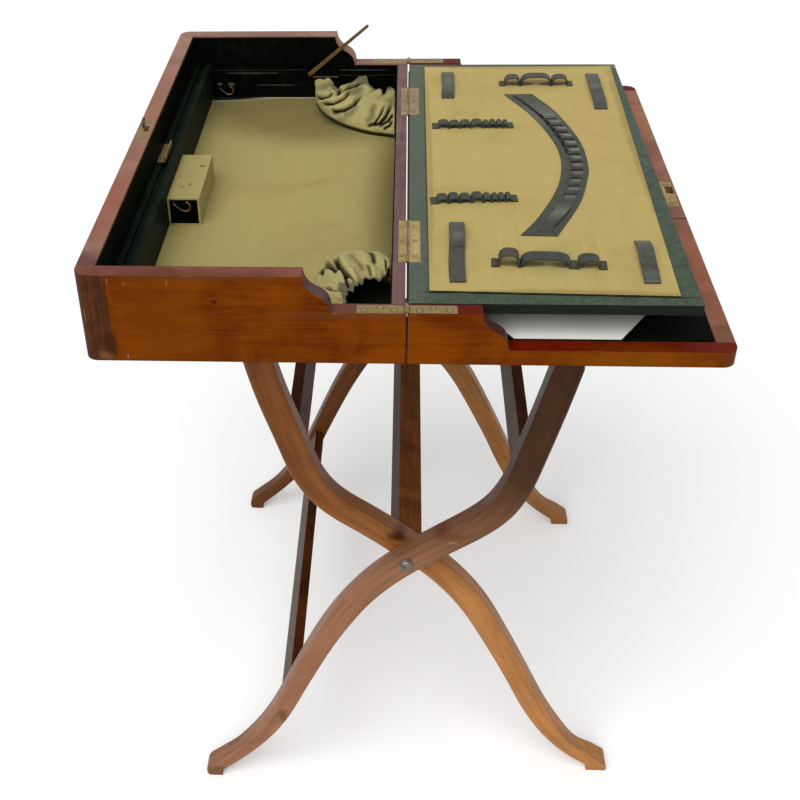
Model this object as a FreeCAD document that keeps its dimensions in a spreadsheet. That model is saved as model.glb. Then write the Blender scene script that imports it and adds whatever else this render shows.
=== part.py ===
"""Folding campaign desk on an X-shaped stand.

Two box halves are hinged together along the depth: a deep well on the left and a
shallow writing tray on the right. A leather-framed flap with loops for pens and
papers is hinged to the well. The open box rests on a folding stand of four
S-curved legs. Millimetres; the origin is on the floor under the middle of the
open box, +X towards the tray, +Y towards the back and +Z up.
"""
import FreeCAD, Part
import math
import os
import re
from FreeCAD import Placement, Rotation, Vector

SIZES = (
    # the box
    ("half_width", 290.0, "each half of the box, hinge line to end"),
    ("half_depth", 310.0, "middle of the box to its front and back faces"),
    ("wall", 17.0, "thickness of the outer boards"),
    ("box_bottom", 688.0, "underside of the box above the floor"),
    ("hinge_top", 740.0, "level of the hinge line and the folded faces"),
    ("deep_top", 776.5, "top of the well's high walls"),
    ("rim_top", 703.5, "top of the tray's low rim"),
    ("bottom_board", 6.0, "thickness of the two bottom boards"),
    ("board_gap", 1.0, "hinge line to the end of each side board"),
    ("curve_start", 66.5, "hinge line to the foot of the S-curve"),
    ("curve_run", 24.0, "length of the S-curve along the side"),
    ("fold_gap", 0.4, "clearance between the folded faces"),
    ("corner_radius", 12.0, "rounding of the outer upright corners"),
    ("cross_gap", 1.5, "hinge line to the rail and to the flap"),
    ("rail", 12.0, "thickness of the boards beside the hinge line"),
    ("inner_top", 729.5, "top of the tray's inner board, below the flap"),
    ("seam_gap", 1.4, "rail to the tray's inner board, an open seam"),
    # linings of the well
    ("lining", 1.2, "thickness of the wall linings"),
    ("lining_drop", 2.0, "top of a lining below the top of its board"),
    ("floor_cloth", 1.5, "thickness of the cloth on the well's bottom"),
    ("soft_gap", 0.4, "clearance round the soft corner pockets"),
    ("ledge_run", 20.0, "width of the grooved ledge along the end wall"),
    ("groove_wide", 7.0, "width of the pen groove in the ledge"),
    ("groove_deep", 6.0, "depth of the pen groove"),
    ("fit_gap", 0.1, "clearance between cloths, ledge and boards"),
    ("back_bag_wide", 104.0, "rear corner pocket, across the well"),
    ("back_bag_long", 126.0, "rear corner pocket, along the hinge rail"),
    ("back_bag_high", 25.4, "rear corner pocket, height"),
    ("front_bag_wide", 66.0, "front corner pocket, across the well"),
    ("front_bag_long", 137.0, "front corner pocket, along the hinge rail"),
    ("front_bag_high", 27.0, "front corner pocket, height"),
    ("bag_floor", 3.0, "thickness of cloth left under a pocket's mouth"),
    # blotter in the tray
    ("blotter_thick", 8.6, "thickness of the blotter's board"),
    ("paper_thick", 0.5, "thickness of the blotting paper"),
    ("corner_thick", 0.6, "thickness of the blotter's leather corners"),
    ("corner_wide", 80.0, "blotter corner, across the tray"),
    ("corner_long", 120.0, "blotter corner, along the tray"),
    ("blotter_gap", 0.5, "clearance round the blotter's board"),
    ("paper_inset", 2.5, "edge of the board to the edge of the paper, across the tray"),
    ("paper_margin", 3.5, "edge of the board to the edge of the paper, along the tray"),
    # small covered box in the well
    ("case_left", -252.6, "left side of the small covered box"),
    ("case_front", -63.0, "front of the small covered box"),
    ("case_wide", 34.0, "width of the small covered box"),
    ("case_long", 108.0, "length of the small covered box"),
    ("case_high", 31.5, "height of the small covered box"),
    ("case_wall", 2.0, "thickness of its sides"),
    # hooks and catch in the well
    ("hook_wire", 0.9, "radius of the hooks' wire"),
    ("back_hook_x", -244.0, "foot of the hook on the back wall, across"),
    ("back_hook_z", 709.0, "foot of the hook on the back wall, height"),
    ("case_hook_x", -246.0, "foot of the hook on the small box, across"),
    ("case_hook_z", 722.0, "foot of the hook on the small box, height"),
    ("catch_left", -271.4, "left edge of the brass catch on the ledge"),
    ("catch_front", -4.0, "front end of the catch"),
    ("catch_wide", 9.0, "width of the catch's foot"),
    ("catch_long", 46.0, "length of the catch"),
    ("catch_thick", 1.2, "thickness of the catch's foot"),
    ("catch_lip", 1.5, "thickness of the catch's upturned lip"),
    ("catch_high", 6.0, "height of the lip above the ledge"),
    # flap
    ("flap_wide", 256.5, "width of the flap from its hinged edge"),
    ("flap_front", -291.5, "front edge of the flap"),
    ("flap_back", 288.5, "back edge of the flap"),
    ("flap_thick", 10.0, "thickness of the flap"),
    ("panel_thick", 1.0, "thickness of the cloth panel on the flap"),
    ("web_thick", 1.6, "thickness of the leather loops and straps"),
    ("row_band", 14.0, "width of the tape in the two long rows of loops"),
    ("triple_band", 15.0, "width of the tape in the two rows of three loops"),
    ("tab", 6.0, "length of a tape's stitched end"),
    ("strap_band", 15.0, "width of the four single straps"),
    ("strap_rise", 5.0, "height of a strap above the panel at its middle"),
    ("strap_foot", 6.0, "length of a strap's stitched foot"),
    ("holder_thick", 3.0, "thickness of the crescent holder"),
    # hinges
    ("strap_long", 43.0, "length of a strap hinge leaf"),
    ("strap_wide", 13.0, "width of a strap hinge leaf"),
    ("strap_thick", 1.6, "thickness of a strap hinge leaf"),
    ("strap_knuckle", 2.2, "radius of a strap hinge knuckle"),
    ("strap_pin", 1.0, "radius of a strap hinge pin"),
    ("butt_long", 82.0, "length of a butt hinge"),
    ("butt_rail_leaf", 7.0, "width of the butt leaf on the rail"),
    ("butt_flap_leaf", 11.0, "width of the butt leaf on the flap"),
    ("butt_thick", 1.2, "thickness of a butt leaf"),
    ("butt_knuckle", 1.35, "radius of a butt knuckle"),
    ("butt_pin", 0.7, "radius of a butt hinge pin"),
    ("pin_clearance", 0.05, "running clearance round the hinge pins"),
    ("pin_proud", 2.8, "length of a strap hinge pin outside the box"),
    ("plate_setback", 1.6, "end of a side board to its strap's flat plate"),
    ("neck_run", 3.2, "reach of a knuckle's neck over its plate"),
    ("notch_run", 2.4, "length of the notch for a strap knuckle"),
    ("notch_room", 0.3, "clearance beside a strap knuckle"),
    ("notch_deep", 1.2, "depth of the notch below the strap's seat"),
    ("hinge_back", 128.0, "front end of the rear butt hinge"),
    ("hinge_front", -218.0, "front end of the front butt hinge"),
    ("screw_proud", 0.15, "height of a screw head above its plate"),
    ("screw_slot", 0.6, "width of a screw's slot"),
    ("strap_screw", 2.6, "radius of the screws in the straps and the lock plate"),
    ("strike_screw", 2.8, "radius of the screws in the strike plate"),
    ("catch_screw", 2.2, "radius of the screws in the ledge's catch"),
    ("butt_screw", 1.8, "radius of the screws in the butt leaves"),
    # lock
    ("plate_wide", 12.0, "width of the lock and strike plates"),
    ("plate_long", 58.0, "length of the lock and strike plates"),
    ("plate_thick", 1.5, "thickness of the lock and strike plates"),
    ("slot_left", -282.5, "left side of the slot in the lock plate"),
    ("slot_front", -4.0, "front end of the slot"),
    ("slot_wide", 5.0, "width of the slot"),
    ("slot_long", 14.0, "length of the slot"),
    ("slot_deep", 14.0, "depth of the mortise under the slot"),
    ("keeper_left", 279.0, "left side of the hole in the strike plate"),
    ("keeper_front", 0.5, "front end of the hole"),
    ("keeper_wide", 8.0, "width of the hole"),
    ("keeper_long", 17.0, "length of the hole"),
    ("keeper_room", 0.5, "clearance of the mortise round the hole"),
    ("keeper_deep", 12.5, "depth of the mortise under the hole"),
    ("hook_left", -285.3, "left side of the lock's hook"),
    ("hook_front", 3.0, "front of the lock's hook"),
    ("hook_thick", 2.4, "thickness of the lock's hook"),
    ("shank_long", 9.0, "length of the hook's shank along the wall"),
    ("shank_high", 7.0, "height of the shank above the plate"),
    ("beak_long", 13.0, "length of the hook's beak"),
    ("beak_high", 3.5, "height of the beak"),
    # stay
    ("stay_x", -126.0, "pivot of the brass stay, along the back wall"),
    ("stay_z", 727.0, "height of the stay's pivot"),
    ("stay_long", 96.5, "length of the stay"),
    ("stay_wide", 5.0, "width of the stay"),
    ("stay_pin", 1.0, "radius of the stay's pivot pin"),
    ("stay_thick", 1.8, "thickness of the stay"),
    ("stay_rise", 40.0, "angle of the raised stay above level"),
    ("stay_head", 2.1, "radius of the stay pin's head"),
    ("stay_proud", 1.3, "length of the pin in front of the stay"),
    ("stay_gap", 0.2, "clearance behind the stay"),
    ("bracket_start", 4.0, "pivot of the stay to its bracket"),
    ("bracket_drop", 5.2, "pivot of the stay to the bracket's lower edge"),
    ("bracket_long", 32.0, "length of the bracket"),
    ("bracket_thick", 1.0, "thickness of the bracket"),
    ("bracket_high", 2.2, "height of the bracket"),
    # stand
    ("pivot_x", 3.5, "crossing of the legs beside the hinge line"),
    ("pivot_z", 374.0, "height of the crossing bolts"),
    ("leg_thick", 25.0, "thickness of a leg from front to back"),
    ("stand_front", -237.0, "front face of the front legs"),
    ("stand_back", 306.0, "back face of the back legs"),
    ("leg_gap", 0.3, "clearance between crossing legs"),
    ("nose_radius", 14.0, "rounding of the top end of a leg"),
    ("leg_edge", 4.0, "rounding of the long edges of a leg"),
    ("bolt_radius", 4.0, "radius of a crossing bolt"),
    ("bolt_head", 6.6, "radius of a crossing bolt's domed head"),
    ("bolt_dome", 9.0, "radius of the ball that forms the dome"),
    ("dome_sink", 5.2, "centre of that ball behind the washer"),
    ("turn_long", 16.0, "length of the screwdriver slot's cutter"),
    ("turn_deep", 3.0, "reach of the cutter from front to back"),
    ("turn_wide", 1.6, "width of the screwdriver slot"),
    ("turn_front", 5.7, "front of the cutter before the washer"),
    ("turn_tilt", 60.0, "angle of the screwdriver slot"),
    ("bolt_grip", 26.0, "length of a bolt inside the centre bar"),
    ("washer_radius", 8.5, "radius of the washer under a bolt head"),
    ("washer_thick", 1.5, "thickness of the washer"),
    ("bar_thick", 13.0, "thickness of the flat cross bars"),
    ("bar_high", 31.0, "height of the two upper cross bars"),
    ("low_bar_high", 28.0, "height of the lower cross bar"),
    ("centre_bar_wide", 30.0, "width of the bar between the crossings"),
    ("centre_bar_thick", 18.0, "thickness of the bar between the crossings"),
    ("bearer_wide", 44.0, "width of the bearers under the box"),
    ("bearer_gap", 0.3, "leg nose to bearer"),
)

doc = FreeCAD.newDocument("campaign_desk")
sheet = doc.addObject("Spreadsheet::Sheet", "Sizes")
for row, (alias, value, meaning) in enumerate(SIZES, start=1):
    sheet.set("A%d" % row, alias)
    sheet.set("B%d" % row, str(value))
    sheet.set("C%d" % row, meaning)
    sheet.setAlias("B%d" % row, alias)
doc.recompute()

nodes = []


# ---------------------------------------------------------------- helpers
def size(alias):
    """Value of one cell of the sheet."""
    return float(sheet.get(alias))


def cells(expression):
    """Expression with each alias written as a cell of the sheet."""
    return re.sub(r"[a-z_]+", lambda word: "Sizes." + word.group(), str(expression))


def keep(piece, label):
    """Name a finished sub-part."""
    piece.Label = label
    nodes.append(piece)
    return piece


def place(piece, x, y, z):
    """Bind the corner or centre of a primitive to the sheet."""
    for axis, expression in zip("xyz", (x, y, z)):
        piece.setExpression("Placement.Base." + axis, cells(expression))


def block(x, y, z, wide, deep, high):
    """Box from its lowest corner; every value is an expression of aliases."""
    piece = doc.addObject("Part::Box", "block")
    for side, expression in (("Length", wide), ("Width", deep), ("Height", high)):
        piece.setExpression(side, cells(expression))
    place(piece, x, y, z)
    return piece


def rod(x, y, z, radius, long, direction):
    """Cylinder that starts at a point and runs along a direction."""
    piece = doc.addObject("Part::Cylinder", "rod")
    piece.setExpression("Radius", cells(radius))
    piece.setExpression("Height", cells(long))
    piece.Placement = Placement(Vector(), Rotation(Vector(0, 0, 1), direction))
    place(piece, x, y, z)
    return piece


def fuse(pieces):
    """Union of several touching pieces."""
    union = doc.addObject("Part::MultiFuse", "union")
    union.Shapes = pieces
    return union


def cut(base, tools):
    """Base piece with every tool taken away."""
    result = doc.addObject("Part::Cut", "cut")
    result.Base = base
    result.Tool = tools[0] if len(tools) == 1 else fuse(tools)
    return result


def common(pieces):
    """What two overlapping pieces share."""
    shared = doc.addObject("Part::MultiCommon", "shared")
    shared.Shapes = pieces
    return shared


def group(pieces):
    """Separate solids that share one node."""
    compound = doc.addObject("Part::Compound", "group")
    compound.Links = pieces
    return compound


def solid_piece(shape):
    """Feature for a shape that is made by a formula."""
    feature = doc.addObject("Part::Feature", "formed")
    feature.Shape = shape
    return feature


def origin_plane(body, role):
    """One of the origin planes of a body."""
    return [item for item in body.Origin.OriginFeatures if item.Role == role][0]


def sketch_on(body, role, curves, offset=0.0):
    """Sketch of the given curves, parallel to an origin plane of the body."""
    sketch = body.newObject("Sketcher::SketchObject", "outline")
    sketch.AttachmentSupport = [(origin_plane(body, role), "")]
    sketch.MapMode = "FlatFace"
    sketch.AttachmentOffset = Placement(Vector(0, 0, offset), Rotation())
    sketch.addGeometry(curves, False)
    return sketch


def pad(body, sketch, length, reverse=False):
    """Pad whose length is an expression of aliases."""
    feature = body.newObject("PartDesign::Pad", "pad")
    feature.Profile = sketch
    feature.setExpression("Length", cells(length))
    feature.Reversed = reverse
    sketch.Visibility = False
    return feature


def pocket(body, sketch, length):
    """Pocket against the sketch's normal; it must take something away."""
    doc.recompute()
    before = body.Shape.Volume
    feature = body.newObject("PartDesign::Pocket", "pocket")
    feature.Profile = sketch
    feature.setExpression("Length", cells(length))
    doc.recompute()
    if not body.Shape.Volume < before - 1.0:
        raise RuntimeError(body.Label + ": a pocket cuts nothing")
    return feature


def side_board(label, outline, front):
    """Upright board in the XZ plane: an outline padded towards the back."""
    body = doc.addObject("PartDesign::Body", label)
    pad(body, sketch_on(body, "XZ_Plane", outline), "wall", reverse=True)
    body.setExpression("Placement.Base.y", cells(front))
    return body


def loop_of_lines(points):
    """Closed outline of straight lines through points (u, v)."""
    corners = [Vector(u, v, 0) for u, v in points]
    return [Part.LineSegment(a, b) for a, b in zip(corners, corners[1:] + corners[:1])]


def rectangle(left, bottom, right, top):
    """Closed rectangular outline."""
    return loop_of_lines([(left, bottom), (right, bottom), (right, top), (left, top)])


def s_curve(high, low):
    """Two equal arcs, upright at both ends, from a high to a low point (u, v)."""
    run = low[0] - high[0]
    drop = high[1] - low[1]
    side = math.copysign(1.0, run)
    turn = 2 * math.atan2(abs(run), drop)
    radius = drop / 2 / math.sin(turn)

    def on_arc(centre_u, centre_v, sign, angle):
        return Vector(centre_u + sign * radius * math.cos(angle),
                      centre_v + math.copysign(1.0, sign * side) * radius * math.sin(angle), 0)

    upper = [on_arc(high[0] + side * radius, high[1], -side, turn * part) for part in (0, 0.5, 1)]
    lower = [on_arc(low[0] - side * radius, low[1], side, turn * part) for part in (1, 0.5, 0)]
    return [Part.Arc(*upper), Part.Arc(*lower)]


def fillet(body, edges, radius):
    """Fillet on named edges of the body's last feature."""
    tip = body.Tip
    feature = body.newObject("PartDesign::Fillet", "round")
    feature.Base = (tip, edges)
    feature.setExpression("Radius", cells(radius))
    return feature


def flat_piece(name, outline, level, thick):
    """Thin flat piece: an outline in plan, padded upwards from a level."""
    body = doc.addObject("PartDesign::Body", name)
    pad(body, sketch_on(body, "XY_Plane", outline), thick)
    body.setExpression("Placement.Base.z", cells(level))
    return body


def curve_through(points):
    """Smooth curve through points (u, v)."""
    curve = Part.BSplineCurve()
    curve.interpolate([Vector(u, v, 0) for u, v in points])
    return curve


def round_upright(body, x, y, radius):
    """Round the upright outer edge of a board that stands at (x, y)."""
    doc.recompute()
    for number, edge in enumerate(body.Shape.Edges, start=1):
        middle = edge.BoundBox.Center
        upright = edge.BoundBox.ZLength > 5 and edge.BoundBox.XLength < 0.01
        if upright and abs(middle.x - x) < 0.01 and abs(middle.y - y) < 0.01:
            return fillet(body, ["Edge%d" % number], radius)
    raise RuntimeError(body.Label + ": no upright edge to round")


# ---------------------------------------------------------------- box halves
def strap_recess(body, side):
    """Shallow seat for a strap leaf and a notch for its knuckle."""
    doc.recompute()
    edge = side * size("board_gap")
    tip = side * (size("board_gap") + size("strap_long"))
    notch = side * (size("board_gap") + size("notch_run"))
    middle = size("wall") / 2
    half = size("strap_wide") / 2
    room = half + size("notch_room")
    left, right = sorted((edge, tip))
    seat = sketch_on(body, "XY_Plane", rectangle(left, middle - half, right, middle + half),
                     size("hinge_top"))
    pocket(body, seat, "strap_thick")
    left, right = sorted((edge, notch))
    hole = sketch_on(body, "XY_Plane", rectangle(left, middle - room, right, middle + room),
                     size("hinge_top"))
    pocket(body, hole, "strap_thick + notch_deep")


def well_side(label, front, corner_y):
    """Front or back board of the well, high at the left, with the S-curve."""
    left = -size("half_width")
    foot = (-size("curve_start"), size("hinge_top"))
    head = (foot[0] - size("curve_run"), size("deep_top"))
    corners = [foot, (-size("board_gap"), foot[1]), (-size("board_gap"), size("box_bottom")),
               (left, size("box_bottom")), (left, head[1]), head]
    points = [Vector(u, v, 0) for u, v in corners]
    outline = [Part.LineSegment(a, b) for a, b in zip(points, points[1:])] + s_curve(head, foot)
    body = side_board(label, outline, front)
    strap_recess(body, -1)
    round_upright(body, left, corner_y, "corner_radius")
    return keep(body, label)


def tray_side(label, front, corner_y):
    """Front or back board of the tray: low, rising to the hinge line."""
    right = size("half_width")
    head = (size("curve_start") - size("fold_gap"), size("hinge_top"))
    foot = (head[0] + size("curve_run"), size("rim_top"))
    corners = [foot, (right, foot[1]), (right, size("box_bottom")),
               (size("board_gap"), size("box_bottom")), (size("board_gap"), head[1]), head]
    points = [Vector(u, v, 0) for u, v in corners]
    outline = [Part.LineSegment(a, b) for a, b in zip(points, points[1:])] + s_curve(head, foot)
    body = side_board(label, outline, front)
    strap_recess(body, 1)
    round_upright(body, right, corner_y, "corner_radius")
    return keep(body, label)


def well_boards():
    """The deep half: sides, end, hinge rail and bottom."""
    inner = "-half_depth + wall"
    length = "2 * (half_depth - wall)"
    well_side("well_front_board", "-half_depth", -size("half_depth"))
    well_side("well_back_board", "half_depth - wall", size("half_depth"))
    end = block("-half_width", inner, "box_bottom", "wall", length, "deep_top - box_bottom")
    plate = block("-half_width + (wall - plate_wide) / 2", "-plate_long / 2", "deep_top - plate_thick",
                  "plate_wide", "plate_long", "plate_thick")
    mortise = block("slot_left", "slot_front", "deep_top - slot_deep", "slot_wide", "slot_long", "slot_deep")
    keep(cut(end, [plate, mortise]), "well_end_board")
    rail = block("-cross_gap - rail", inner, "box_bottom", "rail", length, "hinge_top - box_bottom")
    seats = [block("-cross_gap - butt_rail_leaf", start, "hinge_top - butt_thick",
                   "butt_rail_leaf", "butt_long", "butt_thick") for start in ("hinge_front", "hinge_back")]
    keep(cut(rail, seats), "hinge_rail")
    bottom = block("-half_width + wall", inner, "box_bottom",
                   "half_width - wall - cross_gap - rail", length, "bottom_board")
    keep(bottom, "well_bottom")


def tray_boards():
    """The shallow half: sides, end, inner board and bottom."""
    inner = "-half_depth + wall"
    length = "2 * (half_depth - wall)"
    tray_side("tray_front_board", "-half_depth", -size("half_depth"))
    tray_side("tray_back_board", "half_depth - wall", size("half_depth"))
    end = block("half_width - wall", inner, "box_bottom", "wall", length, "rim_top - box_bottom")
    plate = block("half_width - (wall + plate_wide) / 2", "-plate_long / 2", "rim_top - plate_thick",
                  "plate_wide", "plate_long", "plate_thick")
    mortise = block("keeper_left - keeper_room", "keeper_front - keeper_room", "rim_top - keeper_deep",
                    "keeper_wide + 2 * keeper_room", "keeper_long + 2 * keeper_room", "keeper_deep")
    keep(cut(end, [plate, mortise]), "tray_end_board")
    keep(block("seam_gap - cross_gap", inner, "box_bottom", "rail + 2 * cross_gap - seam_gap", length,
               "inner_top - box_bottom"), "tray_inner_board")
    keep(block("cross_gap + rail", inner, "box_bottom", "half_width - wall - cross_gap - rail",
               length, "bottom_board"), "tray_bottom")


def bearers():
    """Bearers under each half, which rest on the noses of the legs."""
    nose, level = OUTER_LEG[0][:2]
    top = "pivot_z + %g + nose_radius + bearer_gap" % level
    for label, reach in (("well_bearer", -nose), ("tray_bearer", nose)):
        keep(block("pivot_x + %g - bearer_wide / 2" % reach, "stand_front", top,
                   "bearer_wide", "stand_back - stand_front", "box_bottom - (%s)" % top), label)


# ---------------------------------------------------------------- inside the well
def wall_lining(front):
    """Thin lining of a side board, following its S-curve a little lower."""
    gap = size("fit_gap")
    left = -size("half_width") + size("wall") + gap / 2
    right = -size("cross_gap") - size("rail") - gap / 2
    low = size("box_bottom") + size("bottom_board") + size("floor_cloth") + gap
    drop = size("lining_drop")
    foot = (-size("curve_start") - drop, size("hinge_top") - drop)
    head = (foot[0] - size("curve_run"), size("deep_top") - drop)
    corners = [foot, (right, foot[1]), (right, low), (left, low), (left, head[1]), head]
    points = [Vector(u, v, 0) for u, v in corners]
    outline = [Part.LineSegment(a, b) for a, b in zip(points, points[1:])] + s_curve(head, foot)
    body = doc.addObject("PartDesign::Body", "side_lining")
    pad(body, sketch_on(body, "XZ_Plane", outline), "lining", reverse=True)
    body.setExpression("Placement.Base.y", cells(front))
    return body


def well_linings():
    """Linings, floor cloth and the grooved ledge."""
    keep(group([wall_lining("-half_depth + wall"), wall_lining("half_depth - wall - lining")]),
         "side_linings")
    inner = "-half_depth + wall + lining + fit_gap"
    length = "2 * (half_depth - wall - lining - fit_gap)"
    keep(block("-half_width + wall", inner, "hinge_top + fit_gap", "lining", length,
               "deep_top - lining_drop - hinge_top"), "end_lining")
    low = "box_bottom + bottom_board"
    keep(block("-cross_gap - rail - lining", inner, low + " + floor_cloth + fit_gap", "lining", length,
               "hinge_top - lining_drop - box_bottom - bottom_board - floor_cloth - fit_gap"), "rail_lining")
    keep(block("-half_width + wall + ledge_run + fit_gap", inner, low,
               "half_width - wall - ledge_run - cross_gap - rail - 2 * fit_gap", length, "floor_cloth"),
         "well_floor_cloth")
    ledge = block("-half_width + wall", inner, low, "ledge_run", length,
                  "hinge_top - box_bottom - bottom_board")
    groove = block("-half_width + wall + (ledge_run - groove_wide) / 2", inner, "hinge_top - groove_deep",
                   "groove_wide", length, "groove_deep")
    keep(cut(ledge, [groove]), "pen_ledge")


def small_case():
    """Small covered box beside the ledge, with a dark front panel."""
    low = "box_bottom + bottom_board + floor_cloth"
    outside = block("case_left", "case_front", low, "case_wide", "case_long", "case_high")
    recess = block("case_left + case_wall", "case_front", low + " + case_wall",
                   "case_wide - 2 * case_wall", "case_wall", "case_high - 2 * case_wall")
    keep(cut(outside, [recess]), "small_case")
    keep(block("case_left + case_wall", "case_front", low + " + case_wall", "case_wide - 2 * case_wall",
               "case_wall", "case_high - 2 * case_wall"), "small_case_front")


# Bend of a wire hook from its foot: along the wall, out of it and up.
HOOK_BEND = ((0, 0, 0), (1, 3, -0.5), (5, 4, -3), (11, 4, -7.5), (16, 4, -6.5), (18.2, 4, -1.5),
             (15.5, 4, 2.5))


def hook(x, y, z):
    """Bent wire hook: a shank out of the face, a falling bend and a turned-up tip."""
    path = Part.BSplineCurve()
    path.interpolate([Vector(x + along, y - out, z + up) for along, out, up in HOOK_BEND])
    section = Part.Wire([Part.Circle(Vector(x, y, z), path.tangent(0)[0], size("hook_wire")).toShape()])
    return Part.Wire([path.toShape()]).makePipeShell([section], True, True)


def wire_hooks():
    """One hook on the back wall and one on the small box."""
    back = size("half_depth") - size("wall") - size("lining")
    front = size("case_front")
    on_wall = hook(size("back_hook_x"), back, size("back_hook_z"))
    on_case = hook(size("case_hook_x"), front, size("case_hook_z"))
    keep(group([solid_piece(on_wall), solid_piece(on_case)]), "wire_hooks")


def ledge_catch():
    """Brass catch on the ledge: a flat foot and an upturned lip."""
    foot = block("catch_left", "catch_front", "hinge_top", "catch_wide", "catch_long", "catch_thick")
    lip = block("catch_left + catch_wide - catch_lip", "catch_front", "hinge_top", "catch_lip",
                "catch_long", "catch_high")
    keep(fuse([foot, lip]), "ledge_catch")


def stay():
    """Brass stay on a pivot pin and its bracket on the back wall."""
    wide = size("stay_wide") / 2
    long = size("stay_long")
    clear = size("half_depth") - size("wall") - size("lining") - size("stay_gap")
    thick = size("stay_thick")
    tip = wide * 0.7
    outline = [Part.LineSegment(Vector(0, wide, 0), Vector(long, tip, 0)),
               Part.Arc(Vector(long, tip, 0), Vector(long + tip, 0, 0), Vector(long, -tip, 0)),
               Part.LineSegment(Vector(long, -tip, 0), Vector(0, -wide, 0)),
               Part.Arc(Vector(0, -wide, 0), Vector(-wide, 0, 0), Vector(0, wide, 0))]
    body = doc.addObject("PartDesign::Body", "stay_arm")
    pad(body, sketch_on(body, "XZ_Plane", outline), "stay_thick", reverse=True)
    hole = Part.Circle(Vector(), Vector(0, 0, 1), size("stay_pin") + size("pin_clearance"))
    bore = sketch_on(body, "XZ_Plane", [hole])
    pocket(body, bore, "stay_thick + 1")
    body.Placement = Placement(Vector(0, 0, 0), Rotation(Vector(0, 1, 0), -size("stay_rise")))
    place(body, "stay_x", clear - thick, "stay_z")
    keep(body, "stay_arm")
    front = clear - thick - size("stay_proud")
    pin = rod("stay_x", front, "stay_z", "stay_pin", "stay_thick + stay_proud + stay_gap", Vector(0, 1, 0))
    head = rod("stay_x", front, "stay_z", "stay_head", "stay_proud - stay_gap", Vector(0, 1, 0))
    keep(fuse([pin, head]), "stay_pin")
    strip = block("stay_x + bracket_start", "half_depth - wall - lining - bracket_thick",
                  "stay_z - bracket_drop", "bracket_long", "bracket_thick", "bracket_high")
    keep(strip, "stay_bracket")


def corner_outline(across, along, bend):
    """Plan of a corner bag: two straight sides and a round that bulges by bend."""
    return [Part.LineSegment(Vector(0, 0, 0), Vector(across, 0, 0)),
            curve_through([(across, 0), (across * bend[0], along * bend[1]), (0, along)]),
            Part.LineSegment(Vector(0, along, 0), Vector(0, 0, 0))]


def corner_bag(label, name, bend, mouth, to_back):
    """Soft bag in a corner, open at the top; mouth is the open share of its plan."""
    wide, long, high = [size("%s_bag_%s" % (name, side)) for side in ("wide", "long", "high")]
    body = doc.addObject("PartDesign::Body", label)
    side = -1.0 if to_back else 1.0
    layers = [sketch_on(body, "XY_Plane", corner_outline(-wide * share, side * long * share, bend), level)
              for share, level in ((1.0, 0.0), (0.94, high * 0.7), (0.8, high))]
    loft = body.newObject("PartDesign::AdditiveLoft", "bag")
    loft.Profile = layers[0]
    loft.Sections = layers[1:]
    loft.Ruled = True
    opening = corner_outline(-wide * mouth, side * long * mouth, bend)
    pocket(body, sketch_on(body, "XY_Plane", opening, high), "%s_bag_high - bag_floor" % name)
    inner = "half_depth - wall - lining - soft_gap"
    place(body, "-cross_gap - rail - lining - soft_gap", inner if to_back else "-(%s)" % inner,
          "box_bottom + bottom_board + floor_cloth + soft_gap")
    keep(body, label)


def corner_pockets():
    """Two ruched silk pockets in the corners beside the hinge rail."""
    corner_bag("back_corner_pocket", "back", (0.707, 0.707), 0.45, True)
    corner_bag("front_corner_pocket", "front", (0.8, 0.8), 0.6, False)


# ---------------------------------------------------------------- inside the tray
def blotter():
    """Leather-covered board, blotting paper and four leather corners."""
    inner = "-half_depth + wall + blotter_gap"
    length = "2 * (half_depth - wall - blotter_gap)"
    low = "box_bottom + bottom_board"
    keep(block("cross_gap + rail + blotter_gap", inner, low,
               "half_width - wall - cross_gap - rail - 2 * blotter_gap", length, "blotter_thick"),
         "blotter_board")
    inset = size("blotter_gap") + size("paper_inset")
    left = size("cross_gap") + size("rail") + inset
    right = size("half_width") - size("wall") - inset
    edge = size("half_depth") - size("wall") - size("blotter_gap") - size("paper_margin")
    wide = size("corner_wide")
    long = size("corner_long")
    paper = low + " + blotter_thick"
    keep(flat_piece("blotter_paper", rectangle(left, -edge, right, edge), paper, "paper_thick"),
         "blotter_paper")
    corners = []
    for x, step_x in ((left - 1, wide), (right + 1, -wide)):
        for y, step_y in ((-edge - 1, long), (edge + 1, -long)):
            outline = loop_of_lines([(x, y), (x + step_x, y), (x, y + step_y)])
            corners.append(flat_piece("corner", outline, paper + " + paper_thick", "corner_thick"))
    keep(group(corners), "blotter_corners")


# ---------------------------------------------------------------- lock
def lock_parts():
    """Lock plate with its hook on the well, strike plate on the tray."""
    plate = block("-half_width + (wall - plate_wide) / 2", "-plate_long / 2", "deep_top - plate_thick",
                  "plate_wide", "plate_long", "plate_thick")
    slot = block("slot_left", "slot_front", "deep_top - plate_thick", "slot_wide", "slot_long", "plate_thick")
    keep(cut(plate, [slot]), "lock_plate")
    shank = block("hook_left", "hook_front", "deep_top", "hook_thick", "shank_long", "shank_high")
    beak = block("hook_left", "hook_front", "deep_top + shank_high", "hook_thick", "beak_long", "beak_high")
    keep(fuse([shank, beak]), "lock_hook")
    strike = block("half_width - (wall + plate_wide) / 2", "-plate_long / 2", "rim_top - plate_thick",
                   "plate_wide", "plate_long", "plate_thick")
    hole = block("keeper_left", "keeper_front", "rim_top - plate_thick", "keeper_wide", "keeper_long",
                 "plate_thick")
    keep(cut(strike, [hole]), "strike_plate")


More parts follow.
